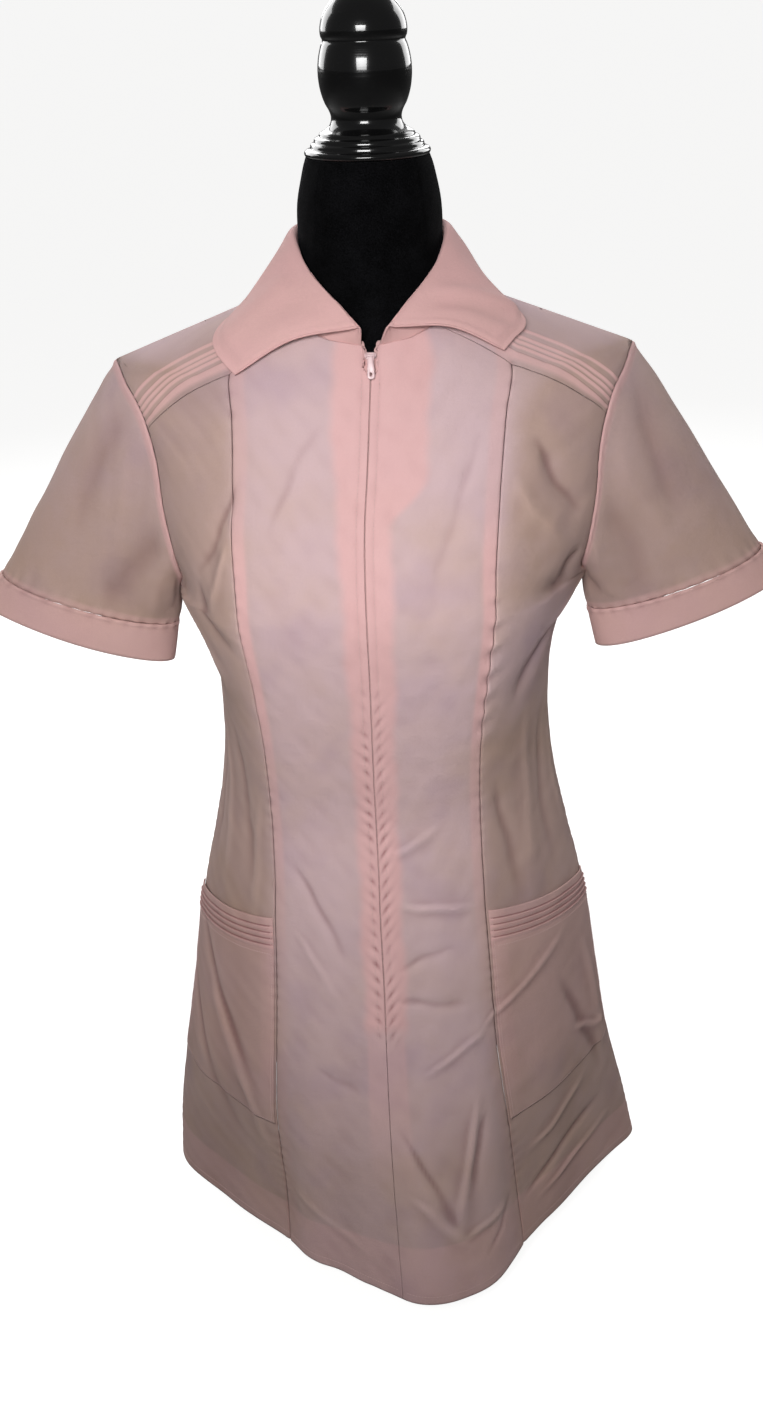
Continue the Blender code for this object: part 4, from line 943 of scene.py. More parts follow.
def cuff(sign, name):
    def surface(turn, t):
        start = cuffRing(cuffTop, sign, turn)
        return start + (cuffRing(cuffHem, sign, turn) - start) * t[..., None]

    def place(s, t):
        turn = s % 1.0
        centre = mix(np.array(cuffTop["middle"]), np.array(cuffHem["middle"]), t[:, None])
        centre = centre * np.array([sign, 1, 1])
        normal = tubeNormal(surface, turn, t, centre)
        lip = cuffSet["lip"] * np.exp(-((t - 0.07) / 0.05) ** 2)
        beat = np.sin(turn * 0.43 * 2 * pi / 0.016 + 2 * np.sin(turn * 19))
        wavy = 0.0005 * np.sin(turn * 26 + t * 2 + sign) + 0.00035 * beat * smooth(0.35, 0.0, t)
        height = cuffSet["proud"] + lip + wavy - 0.0007 * np.exp(-((turn - 0.5) * 0.27 / 0.0014) ** 2)
        # Painted shade and highlight follow the puckers along the cuff's top.
        values = {"layers": np.full_like(t, 0.62), "gap": np.ones_like(t),
                  "crease": 0.5 + 0.2 * beat * smooth(0.3, 0.0, t), "height": cut["tip"] + 0 * t}
        return surface(turn, t) + normal * height[:, None], normal, values

    columns = np.linspace(0.5, 1.5, 190)
    rows = np.concatenate([np.linspace(0, 0.16, 8)[:-1], np.linspace(0.16, 1.0, 12)])
    return clothGrid(name, columns, rows, place, closed=True, thick=cuffSet["thick"])


# Collar: along, place on the neckline, roll x, y and z, the edge's place, height and lift
collarRows = (
    (0.00, 4.00, 0.0000, 0.0605, 0.892, 4.00, 0.842, 0.0030),
    (0.18, 3.40, 0.0330, 0.0500, 0.891, 3.30, 0.841, 0.0030),
    (0.34, 2.70, 0.0515, 0.0260, 0.889, 2.55, 0.8425, 0.0030),
    (0.46, 2.00, 0.0560, 0.0000, 0.888, 2.00, 0.8425, 0.0030),
    (0.58, 1.40, 0.0535, -0.0200, 0.881, 1.62, 0.8355, 0.0035),
    (0.70, 0.95, 0.0470, -0.0380, 0.870, 1.42, 0.8265, 0.0040),
    (0.80, 0.65, 0.0370, -0.0540, 0.860, 1.22, 0.8170, 0.0045),
    (0.90, 0.35, 0.0230, -0.0700, 0.848, 1.06, 0.8090, 0.0045),
    (1.00, 0.07, 0.0105, -0.0815, 0.835, 0.93, 0.8010, 0.0045),
)
collarSet = {"rollRadius": 0.0022, "rollReach": 0.0030, "leafRise": 0.002, "leafBow": 0.006,
             "leafPuff": 0.0010, "pointRise": 0.009, "inset": 0.0016, "sink": 0.0010,
             "thick": 0.0013, "rim": 0.0005}


def throughKnots(keys, points, part):
    # A smooth curve through points given at the keys, for many points at once.
    keys = np.array(keys)
    points = np.stack(points)
    low = np.clip(np.searchsorted(keys, part, side="left") - 1, 0, len(keys) - 2)
    before = np.maximum(low - 1, 0)
    after = np.minimum(low + 2, len(keys) - 1)
    n = np.arange(len(part))
    step = (keys[low + 1] - keys[low])[:, None]
    m1 = (points[low + 1, n] - points[before, n]) / (keys[low + 1] - keys[before])[:, None] * step
    m2 = (points[after, n] - points[low, n]) / (keys[after] - keys[low])[:, None] * step
    return hermite(points[low, n], points[low + 1, n], m1, m2, (part - keys[low])[:, None] / step)


def collarPoint(along, part):
    c = collarSet
    sign = np.where(along >= 0, 1.0, -1.0)
    reach = np.abs(along)
    neckAround, rx, ry, rz, edgeAround, edgeZ, lift = np.moveaxis(rowAt(collarRows, reach), -1, 0)
    neck = garmentPoint(sign * neckAround, lineAt(neckline, neckAround))
    inward = unit(np.stack([-neck[:, 0], -neck[:, 1], np.zeros(len(neck))], -1))
    up = np.array([0.0, 0.0, 1.0])
    neck = neck + inward * c["inset"] - up * c["sink"]
    roll = np.stack([sign * rx, ry, rz], -1)
    edgeAround = np.where(edgeAround > 3.9, 4.0, edgeAround)
    edgeZ = edgeZ + np.where(sign > 0, c["pointRise"], 0.0) * smooth(0.7, 1.0, reach)
    edge = garmentPoint(sign * edgeAround, edgeZ) + garmentNormal(sign * edgeAround, edgeZ) * lift[:, None]
    fall = edge - roll
    out = unit(np.stack([fall[:, 0], fall[:, 1], np.zeros(len(fall))], -1))
    tight = mix(1.0, 0.55, smooth(0.85, 1.0, reach))[:, None] * c["rollRadius"]
    standTop = roll - out * tight + unit(neck - roll) * c["rollReach"]
    leafTop = roll + out * tight + unit(fall) * c["rollReach"]
    bow = c["leafRise"] + c["leafBow"] * smooth(0.75, 1.0, reach)
    middle = mix(leafTop, edge, 0.5) + up * bow[:, None] + out * c["leafPuff"]
    knots = (neck, standTop, roll, leafTop, middle, edge)
    return throughKnots((0.0, 0.36, 0.42, 0.48, 0.74, 1.0), knots, part)


def collarSkin(along, part, lift):
    run = collarPoint(np.minimum(along + 0.01, 1.0), part) - collarPoint(np.maximum(along - 0.01, -1.0), part)
    rise = collarPoint(along, np.minimum(part + 0.01, 1.0)) - collarPoint(along, np.maximum(part - 0.01, 0.0))
    normal = -unit(np.cross(run, rise))
    # A dent beside a raised fold in the left leaf, a shallower dent in the right one, and waves along both.
    leaf = smooth(0.50, 0.62, part)
    hollow = np.exp(-(((along - 0.76) + (part - 0.75) * 0.28) / 0.035) ** 2)
    dent = -0.0030 * hollow * smooth(0.45, 0.62, part)
    dent += 0.0016 * np.exp(-(((along - 0.85) + (part - 0.75) * 0.20) / 0.045) ** 2) * leaf
    dent += -0.0014 * np.exp(-(((along + 0.80) + (part - 0.8) * 0.3) / 0.06) ** 2) * leaf
    dent += 0.0005 * np.sin(along * 31 + part * 4) * leaf
    sunk = dent * smooth(1.0, 0.90, part) * smooth(1.0, 0.94, np.abs(along))
    return collarPoint(along, part) + normal * (sunk + lift)[:, None], normal


def collar(name):
    def place(s, t):
        along = s * 2 - 1
        edge = np.minimum((1 - t) * 0.085, np.where(t > 0.45, (1 - np.abs(along)) * 0.20, 1.0))
        raised = np.exp(-((edge - 0.0020) / 0.0013) ** 2)
        sunk = 0.8 * np.exp(-((edge - 0.0052) / 0.0014) ** 2)
        rim = collarSet["rim"] * (raised - sunk)
        points, normal = collarSkin(along, t, collarSet["thick"] / 2 + rim)
        # The collar is made a little lighter overall, with painted shade along the sunk groove inside its
        # edge and a painted highlight on its raised rim.
        stitchLine = 0.18 * np.exp(-((edge - 0.0052) / 0.0012) ** 2)
        crease = 0.64 - stitchLine + 0.1 * np.exp(-((edge - 0.0015) / 0.0015) ** 2)
        values = {"layers": np.ones_like(t), "gap": np.full_like(t, 0.9),
                  "crease": crease, "height": cut["neckSide"] + 0 * t}
        return points, normal, values

    near = [0.0, 0.0015, 0.003, 0.005]
    far = [0.995, 0.997, 0.9985, 1.0]
    columns = np.concatenate([near, np.linspace(0.0075, 0.9925, 250), far])
    stand = np.linspace(0, 0.34, 14)
    rolled = np.linspace(0.35, 0.50, 22)
    leaf = np.linspace(0.515, 0.93, 26)
    rows = np.concatenate([stand, rolled, leaf, np.linspace(0.937, 1.0, 11)])
    return clothGrid(name, columns, rows, place, thick=collarSet["thick"])


# Patch pockets
pocketSet = {"bottom": 0.165, "topSeam": 0.368, "topSide": 0.345, "band": 0.030, "gape": 0.0026,
             "near": 0.012, "far": 0.94, "lips": (0.0055, 0.0112, 0.0168, 0.0225), "tuckHeight": 0.0013,
             "tuckWide": 0.0036, "lift": 0.0018}


def pocketPlace(sign, s, t):
    p = pocketSet
    top = mix(p["topSeam"], p["topSide"], s)
    return sign * (1 + mix(p["near"], p["far"], s)), mix(p["bottom"], top, t)


def pocketLift(s, t):
    p = pocketSet
    gape = p["gape"] * (1 - (2 * s - 1) ** 2) * smooth(0.5, 1.0, t)
    return p["lift"] + gape


def pocket(sign, name):
    p = pocketSet
    tall = p["topSeam"] - p["bottom"]
    first = 1 - p["band"] / tall

    def place(s, t):
        around, z = pocketPlace(sign, s, t)
        ridge, line, tucked = tuckProfile((t - first) * tall, p["lips"], p["tuckWide"], p["tuckHeight"])
        ends = smooth(0.0, 0.03, s) * smooth(1.0, 0.97, s)
        edge = np.minimum(np.minimum(s, 1 - s) * 0.085, t * 0.19)
        rim = -0.0006 * np.exp(-(edge / 0.002) ** 2)
        values = clothValues(around, z)
        band = smooth(first - 0.02, first, t)
        bag = 0.10 + 0.20 * smooth(0.02, 0.30, t)
        turnedEdge = smooth(0.011, 0.007, edge) * bag * 0.6
        values["layers"] = np.clip(bag + 0.15 * band + 0.3 * tucked + turnedEdge, 0, 1)
        # Painted shadow: a dark line under each tuck's lip, and a painted highlight on the tucks.
        values["crease"] = values["crease"] + (0.25 * tucked - 0.85 * line) * ends
        points = garmentSkin(around, z, pocketLift(s, t) + ridge * ends + rim)
        return points, garmentNormal(around, z), values

    tucks = [first + level / tall for level in tuckRows(p["lips"], p["tuckWide"])]
    rows = np.concatenate([np.linspace(0, first, 80), tucks, np.linspace(max(tucks), 1.0, 6)[1:]])
    return clothGrid(name, spread(0.085, 0.0022), rows, place, thick=0.0009)


# Zip: tape behind the slit, two rows of teeth, stops, slider and pull
zipSet = {"tapeHalf": 0.010, "tapeDepth": 0.0018, "tapeThick": 0.0006, "tapeTop": 0.8165, "pitch": 0.00127,
          "toothHalf": (0.00078, 0.00050, 0.00046), "toothShift": 0.00050, "toothDepth": 0.0015,
          "topTeeth": 0.0060, "endLevels": (0.8150, 0.8245), "endInner": (0.0015, 0.0050), "endOuter": 0.0085}


def zipTape(name):
    z0 = cut["zipEnd"] - 0.006

    def place(s, t):
        z = mix(z0, zipSet["tapeTop"], t)
        across = mix(-zipSet["tapeHalf"], zipSet["tapeHalf"], s)
        around = across / rowAt(bodyRows, z)[:, 2]
        depth = zipSet["tapeDepth"] + 0.0001 * np.cos(s * 2 * pi * 3)
        normal = garmentNormal(around, z)
        # Painted shade: the tape is a little darker where it lies recessed behind the slit.
        values = {"layers": np.ones_like(t), "gap": np.ones_like(t),
                  "crease": np.full_like(t, 0.42), "height": z}
        return garmentPoint(around, z) - normal * depth[:, None], normal, values

    return clothGrid(name, np.linspace(0, 1, 13), np.linspace(0, 1, 220), place, thick=zipSet["tapeThick"])


def tapeEnd(sign, name):
    # The tape's loose end beside the slider, cut slanting so the two ends leave a V.
    def place(s, t):
        z = mix(*zipSet["endLevels"], t)
        inner = mix(*zipSet["endInner"], t) + 0.0003 * np.sin(z * 2 * pi / 0.004)
        around = sign * mix(inner, zipSet["endOuter"], s) / rowAt(bodyRows, z)[:, 2]
        normal = garmentNormal(around, z)
        # Painted shade: the tape end is darker, most of all at its inner edge by the slit.
        values = {"layers": np.full_like(t, 0.6), "gap": np.full_like(t, 0.6),
                  "crease": 0.34 + 0.16 * s, "height": z}
        return garmentPoint(around, z) - normal * zipSet["tapeDepth"], normal, values

    return clothGrid(name, np.linspace(0, 1, 9), np.linspace(0, 1, 13), place, thick=zipSet["tapeThick"])


def beads(name, spots, axes, sides=(8, 6)):
    # One mesh of small ellipsoids: each axes entry is three half-length vectors.
    mesh = bmesh.new()
    batch = bpy.data.meshes.new("batch")
    for first in range(0, len(spots), 24):
        few = bmesh.new()
        for spot, (a, b, c) in zip(spots[first:first + 24], axes[first:first + 24]):
            turn = Matrix((a, b, c)).transposed().to_4x4()
            turn.translation = spot
            bmesh.ops.create_uvsphere(few, u_segments=sides[0], v_segments=sides[1], radius=1.0, matrix=turn)
        few.to_mesh(batch)
        few.free()
        mesh.from_mesh(batch)
    bpy.data.meshes.remove(batch)
    data = meshData(name, mesh)
    data.shade_smooth()
    piece = addObject(name, data)
    print("made", name, len(spots), "beads")
    return piece


def zipTeeth(name):
    low, high = cut["zipEnd"] + 0.008, cut["sliderZ"] - zipSet["topTeeth"]
    count = int((high - low) / zipSet["pitch"])
    half = zipSet["toothHalf"]
    spots, axes = [], []
    for side, start in ((-1, 0.0), (1, 0.5)):
        z = low + (np.arange(count) + start) * zipSet["pitch"]
        around = side * zipSet["toothShift"] / rowAt(bodyRows, z)[:, 2]
        normal = garmentNormal(around, z)
        point = garmentPoint(around, z) - normal * zipSet["toothDepth"]
        up = unit(garmentPoint(around, z + 0.002) - garmentPoint(around, z - 0.002))
        right = np.cross(up, normal)
        tilt = unit(up + right * side * 0.12)
        spots += [Vector(p) for p in point]
        axes += [(Vector(r) * half[0], Vector(n) * half[2], Vector(u) * half[1])
                 for r, n, u in zip(np.cross(tilt, normal), normal, tilt)]
    for side in (-1, 1):
        z = np.array([low - 0.0012])
        around = np.array([side * 0.0004 / 0.085])
        normal = garmentNormal(around, z)[0]
        spots.append(Vector(garmentPoint(around, z)[0] - normal * 0.0004))
        axes.append((Vector((0.0012, 0, 0)), Vector(normal) * 0.0006, Vector((0, 0, 0.0011))))
    return beads(name, spots, axes)


def zipMatrix():
    # Axes at the slider: X across, Y into the cloth, Z up along the zip.
    spots = garmentPoint(np.zeros(3), cut["sliderZ"] + np.array([0.0, 0.004, -0.004]))
    up = Vector(spots[1] - spots[2]).normalized()
    across = Vector((1.0, 0.0, 0.0))
    inward = up.cross(across).normalized()
    turn = Matrix((across, inward, across.cross(inward))).transposed().to_4x4()
    turn.translation = Vector(spots[0])
    return turn


sliderSet = {"half": 0.0042, "height": 0.0092, "thick": 0.0009, "proud": 0.0020,
             "hingeRise": 0.0020, "hingeProud": 0.0012, "post": (0.0014, 0.0026, 0.0036),
             "postPlace": (0, -0.0003, 0.0022), "lugRadius": 0.00042, "pinRadius": 0.00040,
             "pinSpots": (-0.0030, -0.0010, 0.0010, 0.0030)}


def plate(mesh, outline, y, thick, crown):
    # A shaped plate: outline gives the half width at each share of the height.
    count, wide = 26, 15
    grid = bmesh.new()
    bmesh.ops.create_grid(grid, x_segments=wide, y_segments=count, size=0.5)
    for vert in grid.verts:
        s, t = vert.co.x + 0.5, vert.co.y + 0.5
        half, z = outline(t)
        across = (2 * s - 1)
        edge = max(abs(across), abs(2 * t - 1) ** 3)
        vert.co = Vector((across * half, y - crown * (1 - edge ** 4), z))
    bmesh.ops.recalc_face_normals(grid, faces=grid.faces[:])
    if grid.faces[:][0].normal.y > 0:
        bmesh.ops.reverse_faces(grid, faces=grid.faces[:])
    bmesh.ops.solidify(grid, geom=grid.faces[:], thickness=thick)
    copy = bpy.data.meshes.new("part")
    grid.to_mesh(copy)
    grid.free()
    mesh.from_mesh(copy)
    bpy.data.meshes.remove(copy)


def finishMesh(name, mesh, place, bevel=None):
    data = meshData(name, mesh)
    data.transform(place)
    data.shade_smooth()
    piece = addObject(name, data)
    if bevel:
        soften = piece.modifiers.new("edges", "BEVEL")
        soften.affect = "EDGES"
        soften.width = bevel
        soften.segments = 3
        soften.profile = 0.5
        soften.material = -1
        soften.limit_method = "ANGLE"
        soften.angle_limit = radians(40)
    return piece


def tube(mesh, path, radius, sides=10):
    # A round bar swept along a short open path in the slider's frame.
    rings = []
    for i, here in enumerate(path):
        after = path[min(i + 1, len(path) - 1)]
        before = path[max(i - 1, 0)]
        along = (after - before).normalized()
        first = along.cross(Vector((0.31, 0.9, 0.17))).normalized()
        second = along.cross(first)
        rings.append([mesh.verts.new(here + (first * cos(a) + second * sin(a)) * radius)
                      for a in (2 * pi * k / sides for k in range(sides))])
    for low, high in zip(rings, rings[1:]):
        for k in range(sides):
            mesh.faces.new((low[k], low[(k + 1) % sides], high[(k + 1) % sides], high[k]))
    mesh.faces.new(list(reversed(rings[0])))
    mesh.faces.new(rings[-1])


def slider(name):
    s = sliderSet

    def outline(t):
        # Two lobes at the top, a waist and a narrower round end below.
        half = s["half"] * (0.60 + 0.40 * float(smooth(0.45, 0.72, t)))
        half *= (1 - abs(2 * t - 1) ** 7 * 0.45)
        return half, mix(-s["height"] / 2, s["height"] / 2, t)

    mesh = bmesh.new()
    plate(mesh, outline, -s["proud"] + 0.0006, s["thick"], 0.0006)
    plate(mesh, outline, 0.0010, s["thick"], 0.0)
    post = Matrix.Translation(s["postPlace"]) @ Matrix.Diagonal((*s["post"], 1))
    bmesh.ops.create_cube(mesh, size=1.0, matrix=post)
    for side in (-1, 1):
        x = side * 0.0026
        hinge = Vector((x, -s["proud"] - s["hingeProud"], s["hingeRise"]))
        lug = [Vector((x, -s["proud"] + 0.0004, s["hingeRise"] + 0.0016)),
               Vector((x, -s["proud"] - 0.0006, s["hingeRise"] + 0.0011)),
               hinge, Vector((x, -s["proud"] - 0.0006, s["hingeRise"] - 0.0011)),
               Vector((x, -s["proud"] + 0.0004, s["hingeRise"] - 0.0016))]
        tube(mesh, lug, s["lugRadius"])
    pin = [Vector((x, -s["proud"] - s["hingeProud"], s["hingeRise"])) for x in s["pinSpots"]]
    tube(mesh, pin, s["pinRadius"])
    return finishMesh(name, mesh, zipMatrix(), 0.0002)


pullSet = {"length": 0.0163, "topHalf": 0.0017, "lowHalf": 0.0026, "thick": 0.0009, "holeMiddle": -0.0129,
           "holeHalf": (0.00085, 0.0013)}


def zipPull(name):
    p = pullSet
    around, deep = 72, 9
    grid = bmesh.new()
    bmesh.ops.create_grid(grid, x_segments=around, y_segments=deep, size=0.5)
    for vert in grid.verts:
        turn = 2 * pi * (vert.co.x + 0.5)
        t = vert.co.y + 0.5
        reach = Vector((cos(turn), sin(turn)))
        inner = Vector((p["holeHalf"][0] * cos(turn), p["holeMiddle"] + p["holeHalf"][1] * sin(turn)))
        z = p["holeMiddle"] + (-p["holeMiddle"] - 0.0003) * max(0.0, reach.y) ** 0.55 \
            - (p["length"] + p["holeMiddle"]) * max(0.0, -reach.y) ** 0.8
        half = mix(p["lowHalf"], p["topHalf"], float(smooth(-0.010, -0.002, z)))
        x = half * (1 if reach.x > 0 else -1) * abs(reach.x) ** (0.35 if reach.y > 0 else 0.6)
        outer = Vector((x, z))
        spot = inner.lerp(outer, t)
        crown = 0.00022 * (1 - (2 * t - 1) ** 2)
        vert.co = Vector((spot.x, -crown, spot.y))
    bmesh.ops.remove_doubles(grid, verts=grid.verts[:], dist=1e-7)
    bmesh.ops.recalc_face_normals(grid, faces=grid.faces[:])
    bmesh.ops.solidify(grid, geom=grid.faces[:], thickness=p["thick"])
    bmesh.ops.translate(grid, verts=grid.verts[:], vec=(0, -p["thick"] / 2, 0))
    tube(grid, [Vector((x, 0, 0)) for x in (-0.0020, -0.0007, 0.0007, 0.0020)], 0.00075, 14)
    hinge = Matrix.Translation((0, -sliderSet["proud"] - sliderSet["hingeProud"], sliderSet["hingeRise"]))
    return finishMesh(name, grid, zipMatrix() @ hinge, 0.00015)


# Stitch lines lie on the cloth: each is a run of short raised threads.
threadSet = {"pitch": 0.0026, "half": 0.00095, "wide": 0.00026, "high": 0.00022}


def stitchRun(line):
    # Spots and axes of stitches along a dense line of points with their normals.
    points, normals = line
    step = np.linalg.norm(np.diff(points, axis=0), axis=1)
    run = np.concatenate([[0.0], np.cumsum(step)])
    count = max(2, int(run[-1] / threadSet["pitch"]))
    places = (np.arange(count) + 0.5) * run[-1] / count
    pick = np.stack([np.interp(places, run, points[:, k]) for k in range(3)], -1)
    ahead = np.stack([np.interp(places + 0.0005, run, points[:, k]) for k in range(3)], -1)
    behind = np.stack([np.interp(places - 0.0005, run, points[:, k]) for k in range(3)], -1)
    normal = unit(np.stack([np.interp(places, run, normals[:, k]) for k in range(3)], -1))
    along = unit(ahead - behind)
    side = np.cross(normal, along)
    spots = [Vector(p) for p in pick]
    axes = [(Vector(a) * threadSet["half"], Vector(b) * threadSet["wide"], Vector(c) * threadSet["high"])
            for a, b, c in zip(along, side, normal)]
    return spots, axes


def bodyLine(around, z, lift=0.0):
    return garmentSkin(around, z, lift), garmentNormal(around, z)


def stitches(name, lines):
    spots, axes = [], []
    for line in lines:
        more, turns = stitchRun(line)
        spots += more
        axes += turns
    return beads(name, spots, axes, (6, 4))


# Dress form
formSet = {"around": 150, "rows": 190, "seam": 0.0006, "nap": 0.00012}


def torso(name):
    middle = np.linspace(0.2150, 0.9290, formSet["rows"])
    z = np.concatenate([[0.2031], np.linspace(0.2036, 0.2120, 8), middle, [0.9330, 0.9360, 0.9378]])
    count = formSet["around"]
    mesh = bmesh.new()
    bmesh.ops.create_grid(mesh, x_segments=count, y_segments=len(z) - 1, size=0.5)
    data = meshData(name, mesh)
    spots = np.empty(len(data.vertices) * 3, np.float32)
    data.vertices.foreach_get("co", spots)
    spots = spots.reshape(-1, 3) + 0.5
    around = 8 * np.rint(spots[:, 0] * count) / count
    level = z[np.rint(spots[:, 1] * (len(z) - 1)).astype(int)]
    plan = formPlan(around, level)
    place = np.abs(wrap(around))
    seam = np.minimum(np.abs(place - 1), np.minimum(np.abs(place - 3), np.abs(place - 2)))
    seam = np.minimum(seam, np.minimum(place, 4 - place)) * 0.09
    sink = formSet["seam"] * np.exp(-(seam / 0.0016) ** 2) * smooth(0.2, 0.22, level)
    wave = formSet["nap"] * ripples(np.sin(2 * pi * around / 8) * 0.15, level, 9, 0.02, 0.05, 8)
    length = np.linalg.norm(plan, axis=-1)
    plan = plan * ((length - sink + wave) / length)[:, None]
    data.vertices.foreach_set("co", np.concatenate([plan, level[:, None]], -1).astype(np.float32).ravel())
    weld = bmesh.new()
    weld.from_mesh(data)
    bmesh.ops.remove_doubles(weld, verts=weld.verts[:], dist=1e-6)
    rims = [edge for edge in weld.edges if edge.is_boundary]
    bmesh.ops.holes_fill(weld, edges=rims, sides=0)
    bmesh.ops.recalc_face_normals(weld, faces=weld.faces[:])
    weld.to_mesh(data)
    weld.free()
    data.shade_smooth()
    data.set_sharp_from_angle(angle=radians(50))
    piece = addObject(name, data)
    print("made", name)
    return piece


capProfile = (
    (0.0000, 0.0000), (0.0428, 0.0000), (0.0441, 0.0007), (0.0448, 0.0022), (0.0445, 0.0036),
    (0.0432, 0.0047), (0.0415, 0.0052), (0.0405, 0.0060), (0.0403, 0.0072), (0.0398, 0.0084),
    (0.0386, 0.0091), (0.0378, 0.0098), (0.0376, 0.0110), (0.0369, 0.0122), (0.0352, 0.0129),
    (0.0341, 0.0137), (0.0337, 0.0148), (0.0325, 0.0159), (0.0301, 0.0171), (0.0281, 0.0184),
    (0.0265, 0.0200), (0.0254, 0.0219), (0.0249, 0.0240), (0.0249, 0.0262), (0.0256, 0.0288),
    (0.0268, 0.0313), (0.0283, 0.0338), (0.0297, 0.0371), (0.0309, 0.0408), (0.0318, 0.0446),
    (0.0324, 0.0488), (0.0327, 0.0530), (0.0327, 0.0568), (0.0324, 0.0607), (0.0318, 0.0646),
    (0.0310, 0.0681), (0.0301, 0.0712), (0.0294, 0.0730), (0.0289, 0.0738), (0.0287, 0.0748),
    (0.0290, 0.0759), (0.0297, 0.0772), (0.0301, 0.0797), (0.0300, 0.0830), (0.0294, 0.0863),
    (0.0283, 0.0898), (0.0266, 0.0932), (0.0243, 0.0965), (0.0214, 0.0998), (0.0178, 0.1031),
    (0.0136, 0.1063), (0.0090, 0.1091), (0.0045, 0.1107), (0.0000, 0.1112),
)
baseProfile = (
    (0.0000, 0.0003), (0.1165, 0.0003), (0.1180, 0.0000), (0.1193, 0.0006), (0.1200, 0.0020),
    (0.1200, 0.0048), (0.1196, 0.0062), (0.1184, 0.0070), (0.1181, 0.0078), (0.1184, 0.0086),
    (0.1195, 0.0096), (0.1199, 0.0112), (0.1198, 0.0132), (0.1190, 0.0152), (0.1172, 0.0168),
    (0.1140, 0.0177), (0.1100, 0.0180), (0.1010, 0.0180), (0.1002, 0.0177), (0.0994, 0.0172),
    (0.0986, 0.0177), (0.0978, 0.0180), (0.0500, 0.0180), (0.0330, 0.0180), (0.0000, 0.0180),
)
poleProfile = (
    (0.0000, 0.0000), (0.0215, 0.0000), (0.0225, 0.0010), (0.0225, 0.0040), (0.0215, 0.0054),
    (0.0175, 0.0064), (0.0156, 0.0074), (0.0150, 0.0090), (0.0140, 0.0096), (0.0138, 0.0110),
    (0.0138, 0.1340), (0.0146, 0.1348), (0.0150, 0.1360), (0.0150, 0.1400), (0.0146, 0.1412),
    (0.0138, 0.1420), (0.0138, 0.1790), (0.0150, 0.1798), (0.0180, 0.1812), (0.0205, 0.1832),
    (0.0210, 0.1844), (0.0000, 0.1846),
)


def turned(name, profile, base, segments, smoothing=2):
    # A profile turned about the pole's axis: smoothing adds that many rounded points to each step.
    points = [Vector((radius, 0.0, height)) for radius, height in profile]
    line = [points[0]]
    for i in range(1, len(points)):
        a, b = points[i - 1], points[i]
        before = points[max(i - 2, 0)]
        after = points[min(i + 1, len(points) - 1)]
        reach = (b - a).length
        first = (b - before).normalized() * reach * (0.0 if i <= 1 or reach > 0.02 else 1.0)
        second = (after - a).normalized() * reach * (0.0 if i >= len(points) - 1 or reach > 0.02 else 1.0)
        for k in range(1, smoothing + 1):
            t = k / smoothing
            if first.length and second.length:
                line.append(hermite(a, b, first, second, t))
            elif k == smoothing:
                line.append(b)
    for point in line:
        point.x = max(point.x, 0.0)
    line[0].x = 0.0
    line[-1].x = 0.0
    mesh = bmesh.new()
    verts = [mesh.verts.new(point) for point in line]
    edges = [mesh.edges.new(pair) for pair in zip(verts, verts[1:])]
    bmesh.ops.spin(mesh, geom=verts + edges, cent=(0, 0, 0), axis=(0, 0, 1),
                   angle=2 * pi, steps=segments, use_merge=True)
    bmesh.ops.remove_doubles(mesh, verts=mesh.verts[:], dist=1e-6)
    bmesh.ops.recalc_face_normals(mesh, faces=mesh.faces[:])
    piece = finishMesh(name, mesh, Matrix.Translation((0, 0, base)))
    print("made", name)
    return piece


# Materials
def addNode(tree, kind, values=None, **settings):
    made = tree.nodes.new(kind)
    for key, value in settings.items():
        setattr(made, key, value)
    for key, value in (values or {}).items():
        if isinstance(value, bpy.types.NodeSocket):
            tree.links.new(value, made.inputs[key])
        else:
            made.inputs[key].default_value = value
    return made


def maths(tree, operation, *values, clamp=False):
    node = addNode(tree, "ShaderNodeMath", dict(enumerate(values)), operation=operation, use_clamp=clamp)
    return node.outputs[0]


def blendColour(tree, factor, a, b, kind="MIX"):
    made = addNode(tree, "ShaderNodeMix", {0: factor, 6: a, 7: b}, data_type="RGBA", blend_type=kind)
    return made.outputs[2]


def remap(tree, value, low, high, first, last):
    values = {0: value, 1: low, 2: high, 3: first, 4: last}
    return addNode(tree, "ShaderNodeMapRange", values, clamp=True).outputs[0]


def noise(tree, place, scale, detail=3.0, rough=0.5):
    values = {"Vector": place, "Scale": scale, "Detail": detail, "Roughness": rough}
    return addNode(tree, "ShaderNodeTexNoise", values).outputs[0]


def effectGroup(name, inputs, output, build):
    # A shared effect: named inputs, one output, and the nodes that build makes between them.
    tree = bpy.data.node_groups.new(name, "ShaderNodeTree")
    for label, kind in inputs:
        tree.interface.new_socket(label, in_out="INPUT", socket_type=kind)
    tree.interface.new_socket(output, in_out="OUTPUT", socket_type="NodeSocketFloat")
    start = tree.nodes.new("NodeGroupInput")
    end = tree.nodes.new("NodeGroupOutput")
    tree.links.new(build(tree, start.outputs), end.inputs[0])
    return tree


def buildWeave(tree, given):
    # Plain weave: crossed threads that go over and under each other.
    parts = addNode(tree, "ShaderNodeSeparateXYZ", {0: given["Place"]}).outputs
    turn = maths(tree, "DIVIDE", 2 * pi, given["Pitch"])
    across = maths(tree, "SINE", maths(tree, "MULTIPLY", parts[0], turn))
    up = maths(tree, "SINE", maths(tree, "MULTIPLY", parts[1], turn))
    crossed = maths(tree, "MULTIPLY", across, up)
    uneven = noise(tree, given["Place"], 900.0, 1.0)
    return maths(tree, "ADD", maths(tree, "MULTIPLY", crossed, 0.5), maths(tree, "MULTIPLY", uneven, 0.6))


